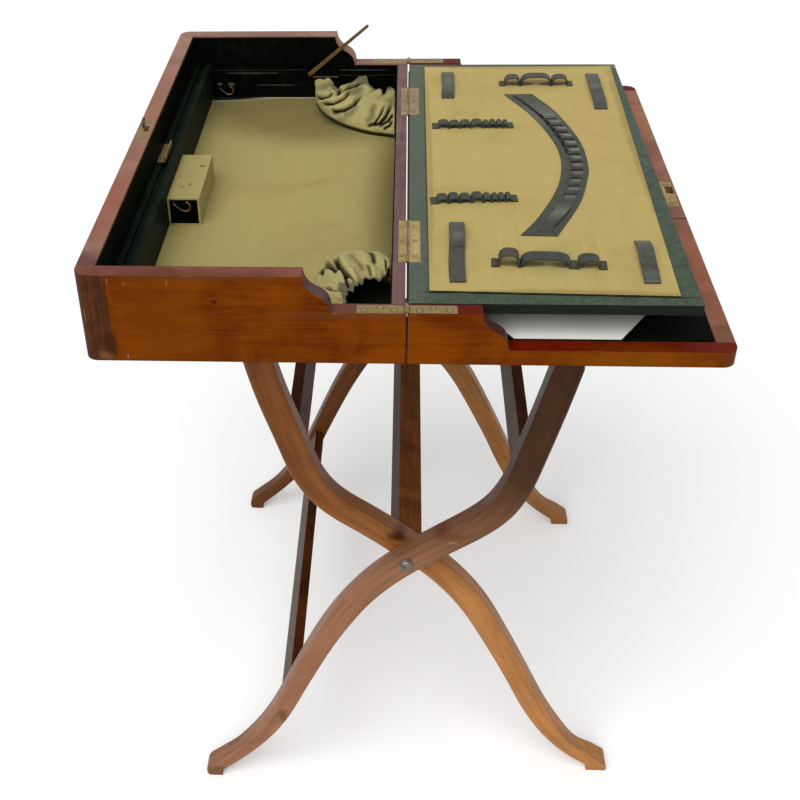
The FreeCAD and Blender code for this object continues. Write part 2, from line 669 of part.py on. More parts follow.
# ---------------------------------------------------------------- flap
def flap():
    """Leather-covered flap board with seats for the butt leaves, and its panel."""
    board = block("cross_gap", "flap_front", "hinge_top - flap_thick",
                  "flap_wide", "flap_back - flap_front", "flap_thick")
    seats = [block("cross_gap", start, "hinge_top - butt_thick", "butt_flap_leaf", "butt_long", "butt_thick")
             for start in ("hinge_front", "hinge_back")]
    keep(cut(board, seats), "flap_board")
    panel = loop_of_lines([(20, -271), (240, -277), (251.5, 280), (20, 278)])
    keep(flat_piece("flap_panel", panel, "hinge_top", "panel_thick"), "flap_panel")


def loop_strip(label, x, y, turn, widths, band, highs):
    """One tape with a flat tab at each end, stitched down between its loops.

    The tape starts at (x, y), the front corner of its first loop, and is turned
    a few degrees about that corner.
    """
    body = doc.addObject("PartDesign::Body", label)
    thick = size("web_thick")
    feet = [sum(widths[:number]) for number in range(len(widths) + 1)]
    start = -size("tab")
    end = feet[-1] + size("tab")
    outer = []
    inner = []
    for left, right, high in zip(feet, feet[1:], highs):
        middle = (left + right) / 2
        outer.append(Part.Arc(Vector(left, thick, 0), Vector(middle, high, 0), Vector(right, thick, 0)))
        inner.append(Part.Arc(Vector(left + thick, 0, 0), Vector(middle, high - thick, 0),
                              Vector(right - thick, 0, 0)))
    edges = [start] + [foot + step for foot in feet for step in (-thick, thick)] + [end]
    edges[1:2] = []
    edges[-2:-1] = []
    flats = [((left, 0), (right, 0)) for left, right in zip(edges[::2], edges[1::2])]
    flats += [((start, 0), (start, thick)), ((start, thick), (0, thick)),
              ((feet[-1], thick), (end, thick)), ((end, thick), (end, 0))]
    flat = [Part.LineSegment(Vector(*a, 0), Vector(*b, 0)) for a, b in flats]
    pad(body, sketch_on(body, "XZ_Plane", outer + inner + flat), band, reverse=True)
    body.Placement = Placement(Vector(), Rotation(Vector(0, 0, 1), turn))
    place(body, x, y, "hinge_top + panel_thick")
    keep(body, label)


def strap(x, y, x_end, y_end):
    """A raised band, held at both ends, that may run a little aslant of Y."""
    body = doc.addObject("PartDesign::Body", "strap")
    reach = y_end - y
    high = size("strap_rise")
    foot = size("strap_foot")
    outline = [Part.Arc(Vector(0, 0, 0), Vector(reach / 2, high, 0), Vector(reach, 0, 0)),
               Part.LineSegment(Vector(reach, 0, 0), Vector(reach - foot, 0, 0)),
               Part.Arc(Vector(reach - foot, 0, 0), Vector(reach / 2, high - size("web_thick"), 0),
                        Vector(foot, 0, 0)),
               Part.LineSegment(Vector(foot, 0, 0), Vector(0, 0, 0))]
    pad(body, sketch_on(body, "XZ_Plane", outline), "strap_band", reverse=True)
    lean = math.degrees(math.atan2(x_end - x, reach))
    body.Placement = Placement(Vector(), Rotation(Vector(0, 0, 1), 90 - lean))
    place(body, x + size("strap_band"), y, "hinge_top + panel_thick")
    return body


def flap_straps():
    """Four single straps near the corners of the panel."""
    ends = ((40, 173.5, 41, 254.5), (38, -257.5, 41, -144), (216, 140.5, 216, 249), (210.5, -257, 213, -180))
    keep(group([strap(*end) for end in ends]), "flap_straps")


def crescent():
    """Flat curved holder for small tools, cut off square at both tips."""
    outer = [(147, 185), (170, 140), (186, 75), (190, 0), (177, -90), (143, -169)]
    inner = [(108, -168), (146, -85), (159, -36), (160, 40), (141, 122), (114, 185)]
    outline = [curve_through(outer), Part.LineSegment(Vector(*outer[-1], 0), Vector(*inner[0], 0)),
               curve_through(inner), Part.LineSegment(Vector(*inner[-1], 0), Vector(*outer[0], 0))]
    keep(flat_piece("crescent_holder", outline, "hinge_top + panel_thick", "holder_thick"),
         "crescent_holder")


def flap_loops():
    """Rows of loops: two long rows of small ones and two rows of three."""
    back_small = (13, 12, 12.5, 13.5, 7, 8, 7, 6.5)
    front_small = (12, 11.5, 11.5, 12, 8.5, 7, 7, 6.5)
    loop_strip("back_long_loops", 33.3, 84.5, 1.4, back_small, "row_band",
               (6.2, 5.4, 5.8, 6.5, 5.4, 5.9, 5.9, 5.4))
    loop_strip("front_long_loops", 29.2, -102.5, 4.2, front_small, "row_band",
               (5.6, 6.6, 5.5, 6.6, 5, 4.8, 4.9, 5.1))
    loop_strip("back_triple_loops", 116, 212, 0, (19, 37, 20), "triple_band", (10.3, 11.8, 10.4))
    loop_strip("front_triple_loops", 83, -228.8, -2.3, (20, 49, 24), "triple_band", (14.3, 11.3, 10.3))


# ---------------------------------------------------------------- hinges
AXIS = "hinge_top + fold_gap / 2"
GAP = 0.15


def hinge_leaf(plate, starts, side, knuckle, bore, length, thick):
    """A plate with its own knuckles, bored for the pin; starts are along Y."""
    pieces = [plate]
    for start in starts:
        tube = rod(0, start, AXIS, knuckle, length, Vector(0, 1, 0))
        neck = block(0 if side > 0 else "-neck_run", start, "hinge_top - %s" % thick,
                     "neck_run", length, thick)
        pieces += [tube, neck]
    bores = [rod(0, start - 1, AXIS, "%s + pin_clearance" % bore, "%s + 2" % length, Vector(0, 1, 0))
             for start in starts]
    return cut(fuse(pieces), bores)


def strap_hinges():
    """Two strap hinges let into the tops of the side boards, with their pins."""
    wide = size("strap_wide")
    third = wide / 3
    inset = (size("wall") - wide) / 2
    well = []
    tray = []
    for front in (inset - size("half_depth"), size("half_depth") - size("wall") + inset):
        leaves = ((well, -1, [front + third + GAP]), (tray, 1, [front, front + 2 * third + 2 * GAP]))
        for leaf_list, side, starts in leaves:
            left = "-board_gap - strap_long" if side < 0 else "board_gap + plate_setback"
            plate = block(left, front, "hinge_top - strap_thick", "strap_long - plate_setback",
                          "strap_wide", "strap_thick")
            leaf_list.append(hinge_leaf(plate, starts, side, "strap_knuckle", "strap_pin",
                                        third - 2 * GAP, "strap_thick"))
    keep(group(well), "strap_leaves_well")
    keep(group(tray), "strap_leaves_tray")
    long = "(wall + strap_wide) / 2 + pin_proud"
    pins = [rod(0, "-half_depth - pin_proud", AXIS, "strap_pin", long, Vector(0, 1, 0)),
            rod(0, "half_depth + pin_proud", AXIS, "strap_pin", long, Vector(0, -1, 0))]
    keep(group(pins), "strap_pins")


def butt_hinges():
    """Two long butt hinges between the rail and the flap, with their pins."""
    fifth = size("butt_long") / 5
    rail = []
    flap_side = []
    pins = []
    for start in (size("hinge_front"), size("hinge_back")):
        for leaf_list, side, wide, places in ((rail, -1, "butt_rail_leaf", (0, 2, 4)),
                                              (flap_side, 1, "butt_flap_leaf", (1, 3))):
            left = "cross_gap" if side > 0 else "-cross_gap - butt_rail_leaf"
            plate = block(left, start, "hinge_top - butt_thick", wide, "butt_long", "butt_thick")
            starts = [start + fifth * number + GAP for number in places]
            leaf_list.append(hinge_leaf(plate, starts, side, "butt_knuckle", "butt_pin",
                                        fifth - 2 * GAP, "butt_thick"))
        pins.append(rod(0, start, AXIS, "butt_pin", "butt_long", Vector(0, 1, 0)))
    keep(group(rail), "butt_leaves_rail")
    keep(group(flap_side), "butt_leaves_flap")
    keep(group(pins), "butt_pins")


def screw(x, y, z, radius):
    """Slotted countersunk head that stands a hair proud of its plate."""
    head = rod(x, y, z, radius, "screw_proud", Vector(0, 0, 1))
    slot = block(x - radius, "%g - screw_slot / 2" % y, "%s + screw_proud / 3" % z, 2 * radius,
                 "screw_slot", "screw_proud")
    return cut(head, [slot])


# ---------------------------------------------------------------- stand
# Centre lines of the legs from the crossing bolt: outward, up and width, nose to foot.
OUTER_LEG = (
    (154, 260, 29.5), (144.5, 220, 30), (134.5, 180, 30), (124.5, 142, 30), (112, 102, 30), (97, 75, 29.5),
    (76.5, 54, 29), (54, 37, 28.5), (27, 17.5, 28), (0, -3.5, 27.5), (-26, -27.5, 27), (-47.5, -52.5, 26.5),
    (-72.5, -90, 26.5), (-94, -130, 25.5), (-113, -171.5, 24.5), (-130, -211, 23.5), (-147, -250, 23),
    (-167, -286, 21.5), (-187.5, -314, 19), (-209.5, -338, 17),
)
INNER_LEG = (
    (154, 260, 29.5), (146, 224, 30), (135.5, 186, 30), (122.5, 145, 30), (108, 101, 29.5), (92, 73, 28),
    (73.5, 53.5, 27.5), (51.5, 37, 27.5), (25, 17, 27.5), (0, -3.5, 27.5), (-26.5, -26, 27.5), (-52, -53, 28),
    (-77.5, -88.5, 28.5), (-99.5, -130, 28), (-119, -171, 27), (-137, -211, 26.5), (-154, -250, 26.5),
    (-172.5, -286, 25), (-189, -312, 22.5), (-209, -338, 19),
)
# Feet of the same legs, from the lower edge round the pad to the upper edge.
OUTER_FOOT = ((-227.5, -366), (-228.5, -374), (-248, -374), (-248.5, -365), (-244, -356.5), (-222, -337.5))
INNER_FOOT = ((-231.5, -365.5), (-233, -374), (-257, -374), (-257.5, -366), (-251.5, -359), (-229, -342))
# Middles of the cross bars from the crossing bolt, outward and up, and their tilt.
UPPER_BAR = (121, 113, 15.6)
LOWER_BAR = (-137.5, -229, 25.0)
CENTRE_TILT = 32.0


def leg_edges(stations):
    """Both long edges of a leg: the centre line offset by half its width."""
    line = Part.BSplineCurve()
    line.interpolate([Vector(x, z, 0) for x, z, wide in stations])
    lower = []
    upper = []
    for x, z, wide in stations:
        centre = Vector(x, z, 0)
        along = line.tangent(line.parameter(centre))[0]
        across = Vector(-along.y, along.x, 0) * (wide / 2)
        lower.append(centre + across)
        upper.append(centre - across)
    return lower, upper


def leg_outline(stations, foot, mirror):
    """Closed outline of a leg, mirrored for the other diagonal."""
    lower, upper = [[(point.x, point.y) for point in edge] for edge in leg_edges(stations)]
    nose = Vector(stations[0][0], stations[0][1], 0)
    tip = nose + (nose - Vector(stations[1][0], stations[1][1], 0)).normalize() * size("nose_radius")
    lower[-1] = foot[0]
    upper.append(foot[-1])

    def turned(points):
        return [(mirror * u, v) for u, v in points]

    corners = [Vector(u, v, 0) for u, v in turned(foot)]
    straight = [Part.LineSegment(a, b) for a, b in zip(corners[:2], corners[1:3])]
    toe = Part.Arc(corners[2], corners[3], corners[4])
    instep = Part.LineSegment(corners[4], corners[5])
    ends = turned([upper[0], (tip.x, tip.y), lower[0]])
    end = Part.Arc(*[Vector(u, v, 0) for u, v in ends])
    return [curve_through(turned(lower))] + straight + [toe, instep, curve_through(turned(upper)), end]


def leg(label, outline, front):
    """One S-curved leg with a bore for the crossing bolt and rounded long edges."""
    body = doc.addObject("PartDesign::Body", label)
    pad(body, sketch_on(body, "XZ_Plane", outline), "leg_thick", reverse=True)
    hole = Part.Circle(Vector(), Vector(0, 0, 1), size("bolt_radius") + size("pin_clearance"))
    pocket(body, sketch_on(body, "XZ_Plane", [hole]), "leg_thick + 1")
    edges = ["Edge%d" % number for number, edge in enumerate(body.Shape.Edges, start=1)
             if edge.BoundBox.YLength < 0.01 and edge.Length > 100]
    fillet(body, edges, "leg_edge")
    place(body, "pivot_x", front, "pivot_z")
    keep(body, label)


def cross_bar(x, z, tilt, wide, thick, front, back):
    """Straight bar along Y, turned about Y so that it lies with the leg."""
    bar = doc.addObject("Part::Box", "bar")
    bar.setExpression("Length", cells(wide))
    bar.setExpression("Width", cells("%s - (%s)" % (back, front)))
    bar.setExpression("Height", cells(thick))
    turn = Rotation(Vector(0, 1, 0), tilt)
    corner = turn.multVec(Vector(-size(wide) / 2, 0, -size(thick) / 2))
    bar.Placement = Placement(Vector(), turn)
    place(bar, "pivot_x + %g" % (x + corner.x), front, "pivot_z + %g" % (z + corner.z))
    return bar


def stand():
    """Outer pair of legs, inner pair of legs and the four bars between them."""
    outer = ("stand_front + leg_thick", "stand_back - leg_thick")
    inner = ("stand_front + 2 * leg_thick + leg_gap", "stand_back - 2 * leg_thick - leg_gap")
    outward = leg_outline(OUTER_LEG, OUTER_FOOT, 1)
    inward = leg_outline(INNER_LEG, INNER_FOOT, -1)
    leg("outer_leg_front", outward, "stand_front")
    leg("inner_leg_front", inward, outer[0] + " + leg_gap")
    leg("inner_leg_back", inward, inner[1])
    leg("outer_leg_back", outward, outer[1])
    across, up, tilt = UPPER_BAR
    keep(cross_bar(across, up, tilt, "bar_thick", "bar_high", *outer), "outer_upper_bar")
    keep(cross_bar(*LOWER_BAR, "bar_thick", "low_bar_high", *outer), "outer_lower_bar")
    keep(cross_bar(-across, up, -tilt, "bar_thick", "bar_high", *inner), "inner_upper_bar")
    middle = cross_bar(0, 0, CENTRE_TILT, "centre_bar_wide", "centre_bar_thick", *inner)
    bores = [rod("pivot_x", end, "pivot_z", "bolt_radius + pin_clearance", "bolt_grip", Vector(0, way, 0))
             for end, way in zip(inner, (1, -1))]
    keep(cut(middle, bores), "centre_bar")


def crossing_bolt(face, way):
    """Domed bolt with a slot, from its washer through both legs into the bar."""
    seat = "%s - %d * washer_thick" % (face, way)
    long = "2 * leg_thick + leg_gap + washer_thick + bolt_grip"
    stem = rod("pivot_x", seat, "pivot_z", "bolt_radius", long, Vector(0, way, 0))
    ball = doc.addObject("Part::Sphere", "ball")
    ball.setExpression("Radius", cells("bolt_dome"))
    place(ball, "pivot_x", "%s + %d * dome_sink" % (seat, way), "pivot_z")
    bound = rod("pivot_x", seat, "pivot_z", "bolt_head", "bolt_dome", Vector(0, -way, 0))
    slot = doc.addObject("Part::Box", "slot")
    for side, alias in (("Length", "turn_long"), ("Width", "turn_deep"), ("Height", "turn_wide")):
        slot.setExpression(side, cells(alias))
    turn = Rotation(Vector(0, 1, 0), size("turn_tilt"))
    corner = turn.multVec(Vector(-size("turn_long") / 2, 0, -size("turn_wide") / 2))
    slot.Placement = Placement(Vector(), turn)
    front = "%s - %d * (turn_front - turn_deep / 2) - turn_deep / 2" % (seat, way)
    place(slot, "pivot_x + %g" % corner.x, front, "pivot_z + %g" % corner.z)
    return cut(fuse([stem, common([ball, bound])]), [slot])


def crossing_washer(face, way):
    """Round washer between a bolt head and the outer leg."""
    ring = rod("pivot_x", face, "pivot_z", "washer_radius", "washer_thick", Vector(0, -way, 0))
    bore = rod("pivot_x", face, "pivot_z", "bolt_radius + pin_clearance", "washer_thick", Vector(0, -way, 0))
    return cut(ring, [bore])


def bolts_and_washers():
    """The two crossing bolts and their washers."""
    ends = (("stand_front", 1), ("stand_back", -1))
    keep(group([crossing_bolt(*end) for end in ends]), "pivot_bolts")
    keep(group([crossing_washer(*end) for end in ends]), "pivot_washers")


# ---------------------------------------------------------------- plate screws
def strap_screws(side):
    """Three screws in each strap leaf of one half."""
    pieces = []
    for y in (size("half_depth") - size("wall") / 2, size("wall") / 2 - size("half_depth")):
        for along, aside in ((10, -1.5), (22, 2.5), (36, -1.5)):
            x = side * (size("board_gap") + along)
            pieces.append(screw(x, y + aside, "hinge_top", size("strap_screw")))
    return pieces


def plate_screws():
    """Slotted screws of the straps, lock plate, strike plate, catch and butt leaves."""
    end = size("half_width") - size("wall") / 2
    catch = size("catch_left") + (size("catch_wide") - size("catch_lip")) / 2
    well = strap_screws(-1) + [screw(-end, y, "deep_top", size("strap_screw")) for y in (-21, 22)]
    well += [screw(catch, y, "hinge_top + catch_thick", size("catch_screw")) for y in (4, 32)]
    tray = strap_screws(1) + [screw(end, y, "rim_top", size("strike_screw")) for y in (-22, 23.5)]
    rows = [start + along for start in (size("hinge_front"), size("hinge_back")) for along in (12, 41, 70)]
    on_rail = -size("cross_gap") - size("butt_rail_leaf") / 2
    on_flap = size("cross_gap") + size("butt_flap_leaf") / 2
    well += [screw(on_rail, y, "hinge_top", size("butt_screw")) for y in rows]
    board = [screw(on_flap, y, "hinge_top", size("butt_screw")) for y in rows]
    for label, heads in (("well_screws", well), ("tray_screws", tray), ("flap_screws", board)):
        keep(group(heads), label)


def check_and_export():
    """Check every object and sub-part, then write one file per sub-part."""
    doc.recompute()
    for item in doc.Objects:
        if "Invalid" in item.State or "Error" in item.State:
            raise RuntimeError("failed object: " + item.Label)
    os.makedirs("parts", exist_ok=True)
    for piece in nodes:
        if piece.Shape.isNull() or not piece.Shape.isValid():
            raise RuntimeError("bad shape: " + piece.Label)
        print("%-22s %2d solid(s) %10.1f mm3" % (piece.Label, len(piece.Shape.Solids), piece.Shape.Volume))
    for piece in nodes:
        piece.Shape.exportStep("parts/%s.step" % piece.Label)


well_boards()
tray_boards()
bearers()
well_linings()
small_case()
wire_hooks()
ledge_catch()
stay()
corner_pockets()
blotter()
lock_parts()
flap()
flap_straps()
crescent()
flap_loops()
strap_hinges()
butt_hinges()
stand()
bolts_and_washers()
plate_screws()
check_and_export()
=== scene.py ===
"""Looks of the folding campaign desk: polished timber, leather, cloth, silk and aged brass."""
import math

import bmesh
import bpy
from bpy.props import FloatProperty, FloatVectorProperty, PointerProperty
from mathutils import Matrix, Vector, noise


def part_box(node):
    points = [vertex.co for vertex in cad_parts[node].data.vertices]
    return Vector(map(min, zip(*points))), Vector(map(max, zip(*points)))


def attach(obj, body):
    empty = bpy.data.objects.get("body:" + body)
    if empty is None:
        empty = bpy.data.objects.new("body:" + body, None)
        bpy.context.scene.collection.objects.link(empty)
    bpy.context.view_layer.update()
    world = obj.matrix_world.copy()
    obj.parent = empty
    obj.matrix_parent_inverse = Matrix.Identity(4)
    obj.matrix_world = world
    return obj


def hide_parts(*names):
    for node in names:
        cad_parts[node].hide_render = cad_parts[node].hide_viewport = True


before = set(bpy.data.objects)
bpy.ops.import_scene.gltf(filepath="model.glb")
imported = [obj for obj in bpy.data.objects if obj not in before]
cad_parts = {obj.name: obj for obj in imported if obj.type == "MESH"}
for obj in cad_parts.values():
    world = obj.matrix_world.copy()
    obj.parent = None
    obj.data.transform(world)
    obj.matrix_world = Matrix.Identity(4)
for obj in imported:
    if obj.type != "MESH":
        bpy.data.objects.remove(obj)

bl_info = {
    "name": "Campaign desk finishes",
    "version": (1, 0, 0),
    "blender": (4, 5, 0),
    "location": "View3D > Sidebar > Desk",
    "description": "Dresses the folding campaign desk in timber, leather, silk and brass",
    "category": "Add Mesh",
}

PANEL_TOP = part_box("flap_panel")[1].z
LEATHER_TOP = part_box("flap_board")[1].z
WELL_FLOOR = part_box("well_floor_cloth")[1].z
BACK_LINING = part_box("stay_bracket")[1].y
CASE_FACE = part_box("small_case")[0].y
HINGE_LEVEL = LEATHER_TOP
LEATHER_GAP = 0.0001
BUTT_LENGTH = 0.082
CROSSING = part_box("pivot_washers")[0].lerp(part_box("pivot_washers")[1], 0.5)
# Middle line of a leg, outward and up in metres: foot on the floor first, nose last.
LEG_SWEEP = ((-0.245, 0.0), (-0.2095, 0.036), (-0.167, 0.088), (-0.130, 0.163), (-0.094, 0.244),
             (-0.0475, 0.3215), (0.0, 0.3705), (0.054, 0.411), (0.097, 0.449), (0.1245, 0.516),
             (0.154, 0.634))
# Start of each row of loops on the flap, its turn in degrees, its length and the strength of the painted
# shade under it.
LOOP_ROWS = {"back_long_loops": (0.0333, 0.0845, 1.4, 0.080, 0.9),
             "front_long_loops": (0.0292, -0.1025, 4.2, 0.080, 0.9),
             "back_triple_loops": (0.1160, 0.2120, 0.0, 0.076, 0.7),
             "front_triple_loops": (0.0830, -0.2288, -2.3, 0.093, 0.6)}


# ---------------------------------------------------------------- what a user may change
def colour(name, description, value):
    """Colour property with a swatch."""
    return FloatVectorProperty(name=name, description=description, subtype="COLOR", min=0, max=1,
                               default=value)


def length(name, description, value):
    """Length property in metres."""
    return FloatProperty(name=name, description=description, unit="LENGTH", default=value, precision=5)


class DeskColours(bpy.types.PropertyGroup):
    """Colours of the finishes."""
    front_light: colour("Front, light", "Polished timber of the outer faces", (0.190, 0.042, 0.000))
    front_dark: colour("Front, dark", "Dark figure of the outer faces", (0.085, 0.014, 0.000))
    veneer_light: colour("Corner, light", "Light figure of the corner's veneer", (0.100, 0.036, 0.012))
    veneer_dark: colour("Corner, dark", "Dark figure of the veneer at the corner", (0.042, 0.012, 0.005))
    rim: colour("Rim", "Red polish on the tops of the walls", (0.150, 0.050, 0.034))
    # Faded rim: faded polish with a painted pinkish reflection of the white surroundings.
    faded_rim_and_sheen: colour("Faded rim and sheen", "Faded polish and painted reflection on the far and left tops", (0.235, 0.125, 0.090))
    tray_rim: colour("Tray rim", "Deep red polish on the tray's rim", (0.098, 0.006, 0.001))
    tray_end: colour("Tray end", "Brown polish on the rim at the tray's end", (0.236, 0.100, 0.066))
    rail: colour("Rail", "Purple-brown polish beside the hinge line", (0.185, 0.100, 0.094))
    worn: colour("Worn timber", "Bare timber on rubbed edges", (0.330, 0.150, 0.070))
    leg_red: colour("Leg, red", "Red-brown timber of the upper left legs", (0.235, 0.078, 0.018))
    # Lower leg tones: the timber's colour lightened by painted front light.
    leg_tan: colour("Leg, tan", "Tan timber of the lower left legs, lightened by painted front light", (0.330, 0.150, 0.075))
    leg_gold: colour("Leg, gold", "Golden timber of the lower right legs, lightened by painted front light", (0.480, 0.205, 0.060))
    # Upper right legs: a darker tone above a height.
    leg_dark: colour("Leg, dark", "Dark tone of the upper right legs", (0.062, 0.023, 0.006))
    bar_red: colour("Bars", "Dark red timber of the bars", (0.095, 0.024, 0.004))
    # Bar sides: a painted reflection of the white surroundings on the bars' left-facing faces.
    bar_side_reflection: colour("Bar sides", "Painted grey reflection on the left sides of the bars", (0.115, 0.082, 0.066))
    lining: colour("Lining", "Black leather that lines the well", (0.002, 0.003, 0.002))
    ledge: colour("Ledge", "Dark green leather of the ledge", (0.004, 0.010, 0.005))
    leather: colour("Leather", "Grey-green leather on the flap", (0.059, 0.086, 0.056))
    trim: colour("Trim", "Leather of the straps and loops", (0.064, 0.068, 0.050))
    scuffed: colour("Scuffed leather", "Rubbed places in the leather", (0.140, 0.150, 0.115))
    raw_edge: colour("Raw edge", "Cut edge of the leather", (0.090, 0.052, 0.026))
    panel: colour("Panel cloth", "Glazed cloth on the flap", (0.480, 0.370, 0.130))
    floor: colour("Floor cloth", "Glazed cloth on the well's bottom", (0.385, 0.325, 0.120))
    shadow: colour("Darkened cloth", "Floor cloth away from the light", (0.150, 0.120, 0.038))
    stain: colour("Cloth stain", "Old stains in the cloth", (0.240, 0.165, 0.050))
    frayed: colour("Frayed cloth", "Pale raw edge of the cloth", (0.480, 0.450, 0.330))
    silk: colour("Silk", "Silk of the corner pockets", (0.440, 0.380, 0.150))
    # Silk folds: the silk's stain tone, also used as painted shade in the folds.
    silk_stain_and_fold_shade: colour("Silk folds", "Silk stains, and painted shade in the folds", (0.110, 0.090, 0.026))
    silk_hem: colour("Silk hem", "Grey frayed hem of the silk", (0.170, 0.148, 0.088))
    brass: colour("Brass", "Rubbed brass", (0.430, 0.315, 0.110))
    tarnish: colour("Tarnish", "Brown film on the brass", (0.230, 0.165, 0.068))
    iron: colour("Iron", "Rusty iron", (0.230, 0.095, 0.025))
    steel: colour("Steel", "Dark steel of the bolts", (0.260, 0.240, 0.200))
    paper: colour("Paper", "Blotting paper", (0.860, 0.850, 0.790))


class DeskSizes(bpy.types.PropertyGroup):
    """Sizes of the leather, silk and small metal work."""
    web_thick: length("Webbing", "Thickness of the loops and straps", 0.0015)
    row_band: length("Row band", "Width of the tape in the long rows", 0.0138)
    triple_band: length("Triple band", "Width of the tape in the rows of three", 0.0148)
    tab: length("Tab", "Length of a tape's stitched end", 0.0060)
    strap_band: length("Strap band", "Width of the single straps", 0.0150)
    strap_rise: length("Strap rise", "Height of a single strap at its middle", 0.0034)
    holder_base: length("Holder base", "Thickness of the crescent's base leather", 0.0013)
    holder_loop: length("Holder loops", "Rise of the small loops on the crescent", 0.0030)
    silk_thick: length("Silk", "Thickness of the silk with its hem", 0.0005)
    wire: length("Wire", "Radius of the hook wire", 0.0007)
    screw_proud: length("Screw head", "Height of a screw head over its plate", 0.00018)


class DeskStage(bpy.types.PropertyGroup):
    """Camera and lamps."""
    camera_place: FloatVectorProperty(name="Camera", description="Where the camera stands",
                                      subtype="XYZ", unit="LENGTH", default=(-0.0044, -1.2077, 1.2984))
    camera_yaw: FloatProperty(name="Yaw", description="Camera's turn from the depth axis",
                              subtype="ANGLE", default=math.radians(-4.083))
    camera_pitch: FloatProperty(name="Pitch", description="Camera's look down",
                                subtype="ANGLE", default=math.radians(35.209))
    camera_roll: FloatProperty(name="Roll", description="Camera's lean", subtype="ANGLE",
                               default=math.radians(-1.611))
    focal_length: FloatProperty(name="Focal length", description="Lens in millimetres on a 36 mm frame",
                                default=54.68)
    shift_across: FloatProperty(name="Shift across", description="Sideways lens shift", default=0.0874)
    shift_up: FloatProperty(name="Shift up", description="Upward lens shift", default=-0.018)
    world_light: FloatProperty(name="World light", description="Strength of the even light", default=0.42)
    floor_glow: FloatProperty(name="Floor glow", description="Lift of the floor towards white", default=0.15)
    lamp_light: FloatProperty(name="Lamp light", description="Strength of the wide soft lamp",
                              default=2.45)
    lamp_spread: FloatProperty(name="Lamp spread", description="Width of the lamp as seen from the desk",
                               subtype="ANGLE", default=math.radians(60))


# ---------------------------------------------------------------- node building
ORIGIN = (0, 0, 0)
WHITE = (1, 1, 1, 1)
BLACK = (0, 0, 0, 1)
EFFECTS = []


def put(tree, kind, inputs=None, **settings):
    """New node with its settings; each input is a constant or another node's output."""
    node = tree.nodes.new(kind)
    for name, value in settings.items():
        setattr(node, name, value)
    for name, value in (inputs or {}).items():
        if isinstance(value, bpy.types.NodeSocket):
            tree.links.new(value, node.inputs[name])
        else:
            node.inputs[name].default_value = value
    return node


def maths(tree, operation, first, second=0.0, third=0.0, clamp=False):
    """Output of a Math node."""
    return put(tree, "ShaderNodeMath", {0: first, 1: second, 2: third}, operation=operation,
               use_clamp=clamp).outputs[0]


def vector_maths(tree, operation, *values, output=0):
    """Output of a Vector Math node; output 1 is a number."""
    return put(tree, "ShaderNodeVectorMath", dict(enumerate(values)), operation=operation).outputs[output]


def parts_of(tree, vector):
    """The three numbers of a vector."""
    return put(tree, "ShaderNodeSeparateXYZ", {0: vector}).outputs


def painted(tree, name):
    """Value kept on the vertices of a piece."""
    return put(tree, "ShaderNodeAttribute", attribute_name=name).outputs["Fac"]


def blend_colour(tree, factor, first, second, way="MIX"):
    """Output of a colour mix; constant colours have three values."""
    def full(value):
        return value if isinstance(value, bpy.types.NodeSocket) else (*value, 1.0)[:4]
    return put(tree, "ShaderNodeMix", {0: factor, 6: full(first), 7: full(second)}, data_type="RGBA",
               blend_type=way).outputs[2]


def ramp(tree, value, low, high):
    """Value spread smoothly from 0 at low to 1 at high."""
    return put(tree, "ShaderNodeMapRange", {0: value, 1: low, 2: high},
               interpolation_type="SMOOTHSTEP").outputs[0]


def cloud(tree, spot, scale, detail=4.0, roughness=0.6, distortion=0.0):
    """Factor of a noise texture at a place."""
    return put(tree, "ShaderNodeTexNoise", {"Vector": spot, "Scale": scale, "Detail": detail,
                                            "Roughness": roughness, "Distortion": distortion}).outputs[0]


def stretched(tree, spot, amounts):
    """A place multiplied by three amounts."""
    return vector_maths(tree, "MULTIPLY", spot, amounts)


def socket_kind(value):
    """Kind of socket for a number, a vector of three or a colour of four."""
    count = len(value) if hasattr(value, "__len__") else 1
    return {1: "NodeSocketFloat", 3: "NodeSocketVector", 4: "NodeSocketColor"}[count]


def effect(**inputs):
    """Lists a function as the maker of a shader effect with these named inputs."""
    def listed(build):
        EFFECTS.append((build, inputs))
        return build
    return listed


def make_effect(build, inputs):
    """Shader effect with its function's name, and the nodes and outputs that the function makes."""
    tree = bpy.data.node_groups.new(build.__name__.replace("_", " ").capitalize(), "ShaderNodeTree")
    for word, value in inputs.items():
        socket = tree.interface.new_socket(word.capitalize(), in_out="INPUT", socket_type=socket_kind(value))
        socket.default_value = value
    given = tree.nodes.new("NodeGroupInput").outputs
    results = build(tree, *[given[word.capitalize()] for word in inputs])
    for label, result in results.items():
        tree.interface.new_socket(label, in_out="OUTPUT", socket_type=socket_kind(result.default_value))
    out = tree.nodes.new("NodeGroupOutput").inputs
    for label, result in results.items():
        tree.links.new(result, out[label])


def use(tree, name, **inputs):
    """Shader effect placed in a material, with its inputs by name."""
    node = tree.nodes.new("ShaderNodeGroup")
    node.node_tree = bpy.data.node_groups[name]
    for word, value in inputs.items():
        socket = node.inputs[word.capitalize()]
        if isinstance(value, bpy.types.NodeSocket):
            tree.links.new(value, socket)
        else:
            socket.default_value = (*value, 1.0) if socket.type == "RGBA" else value
    return node.outputs


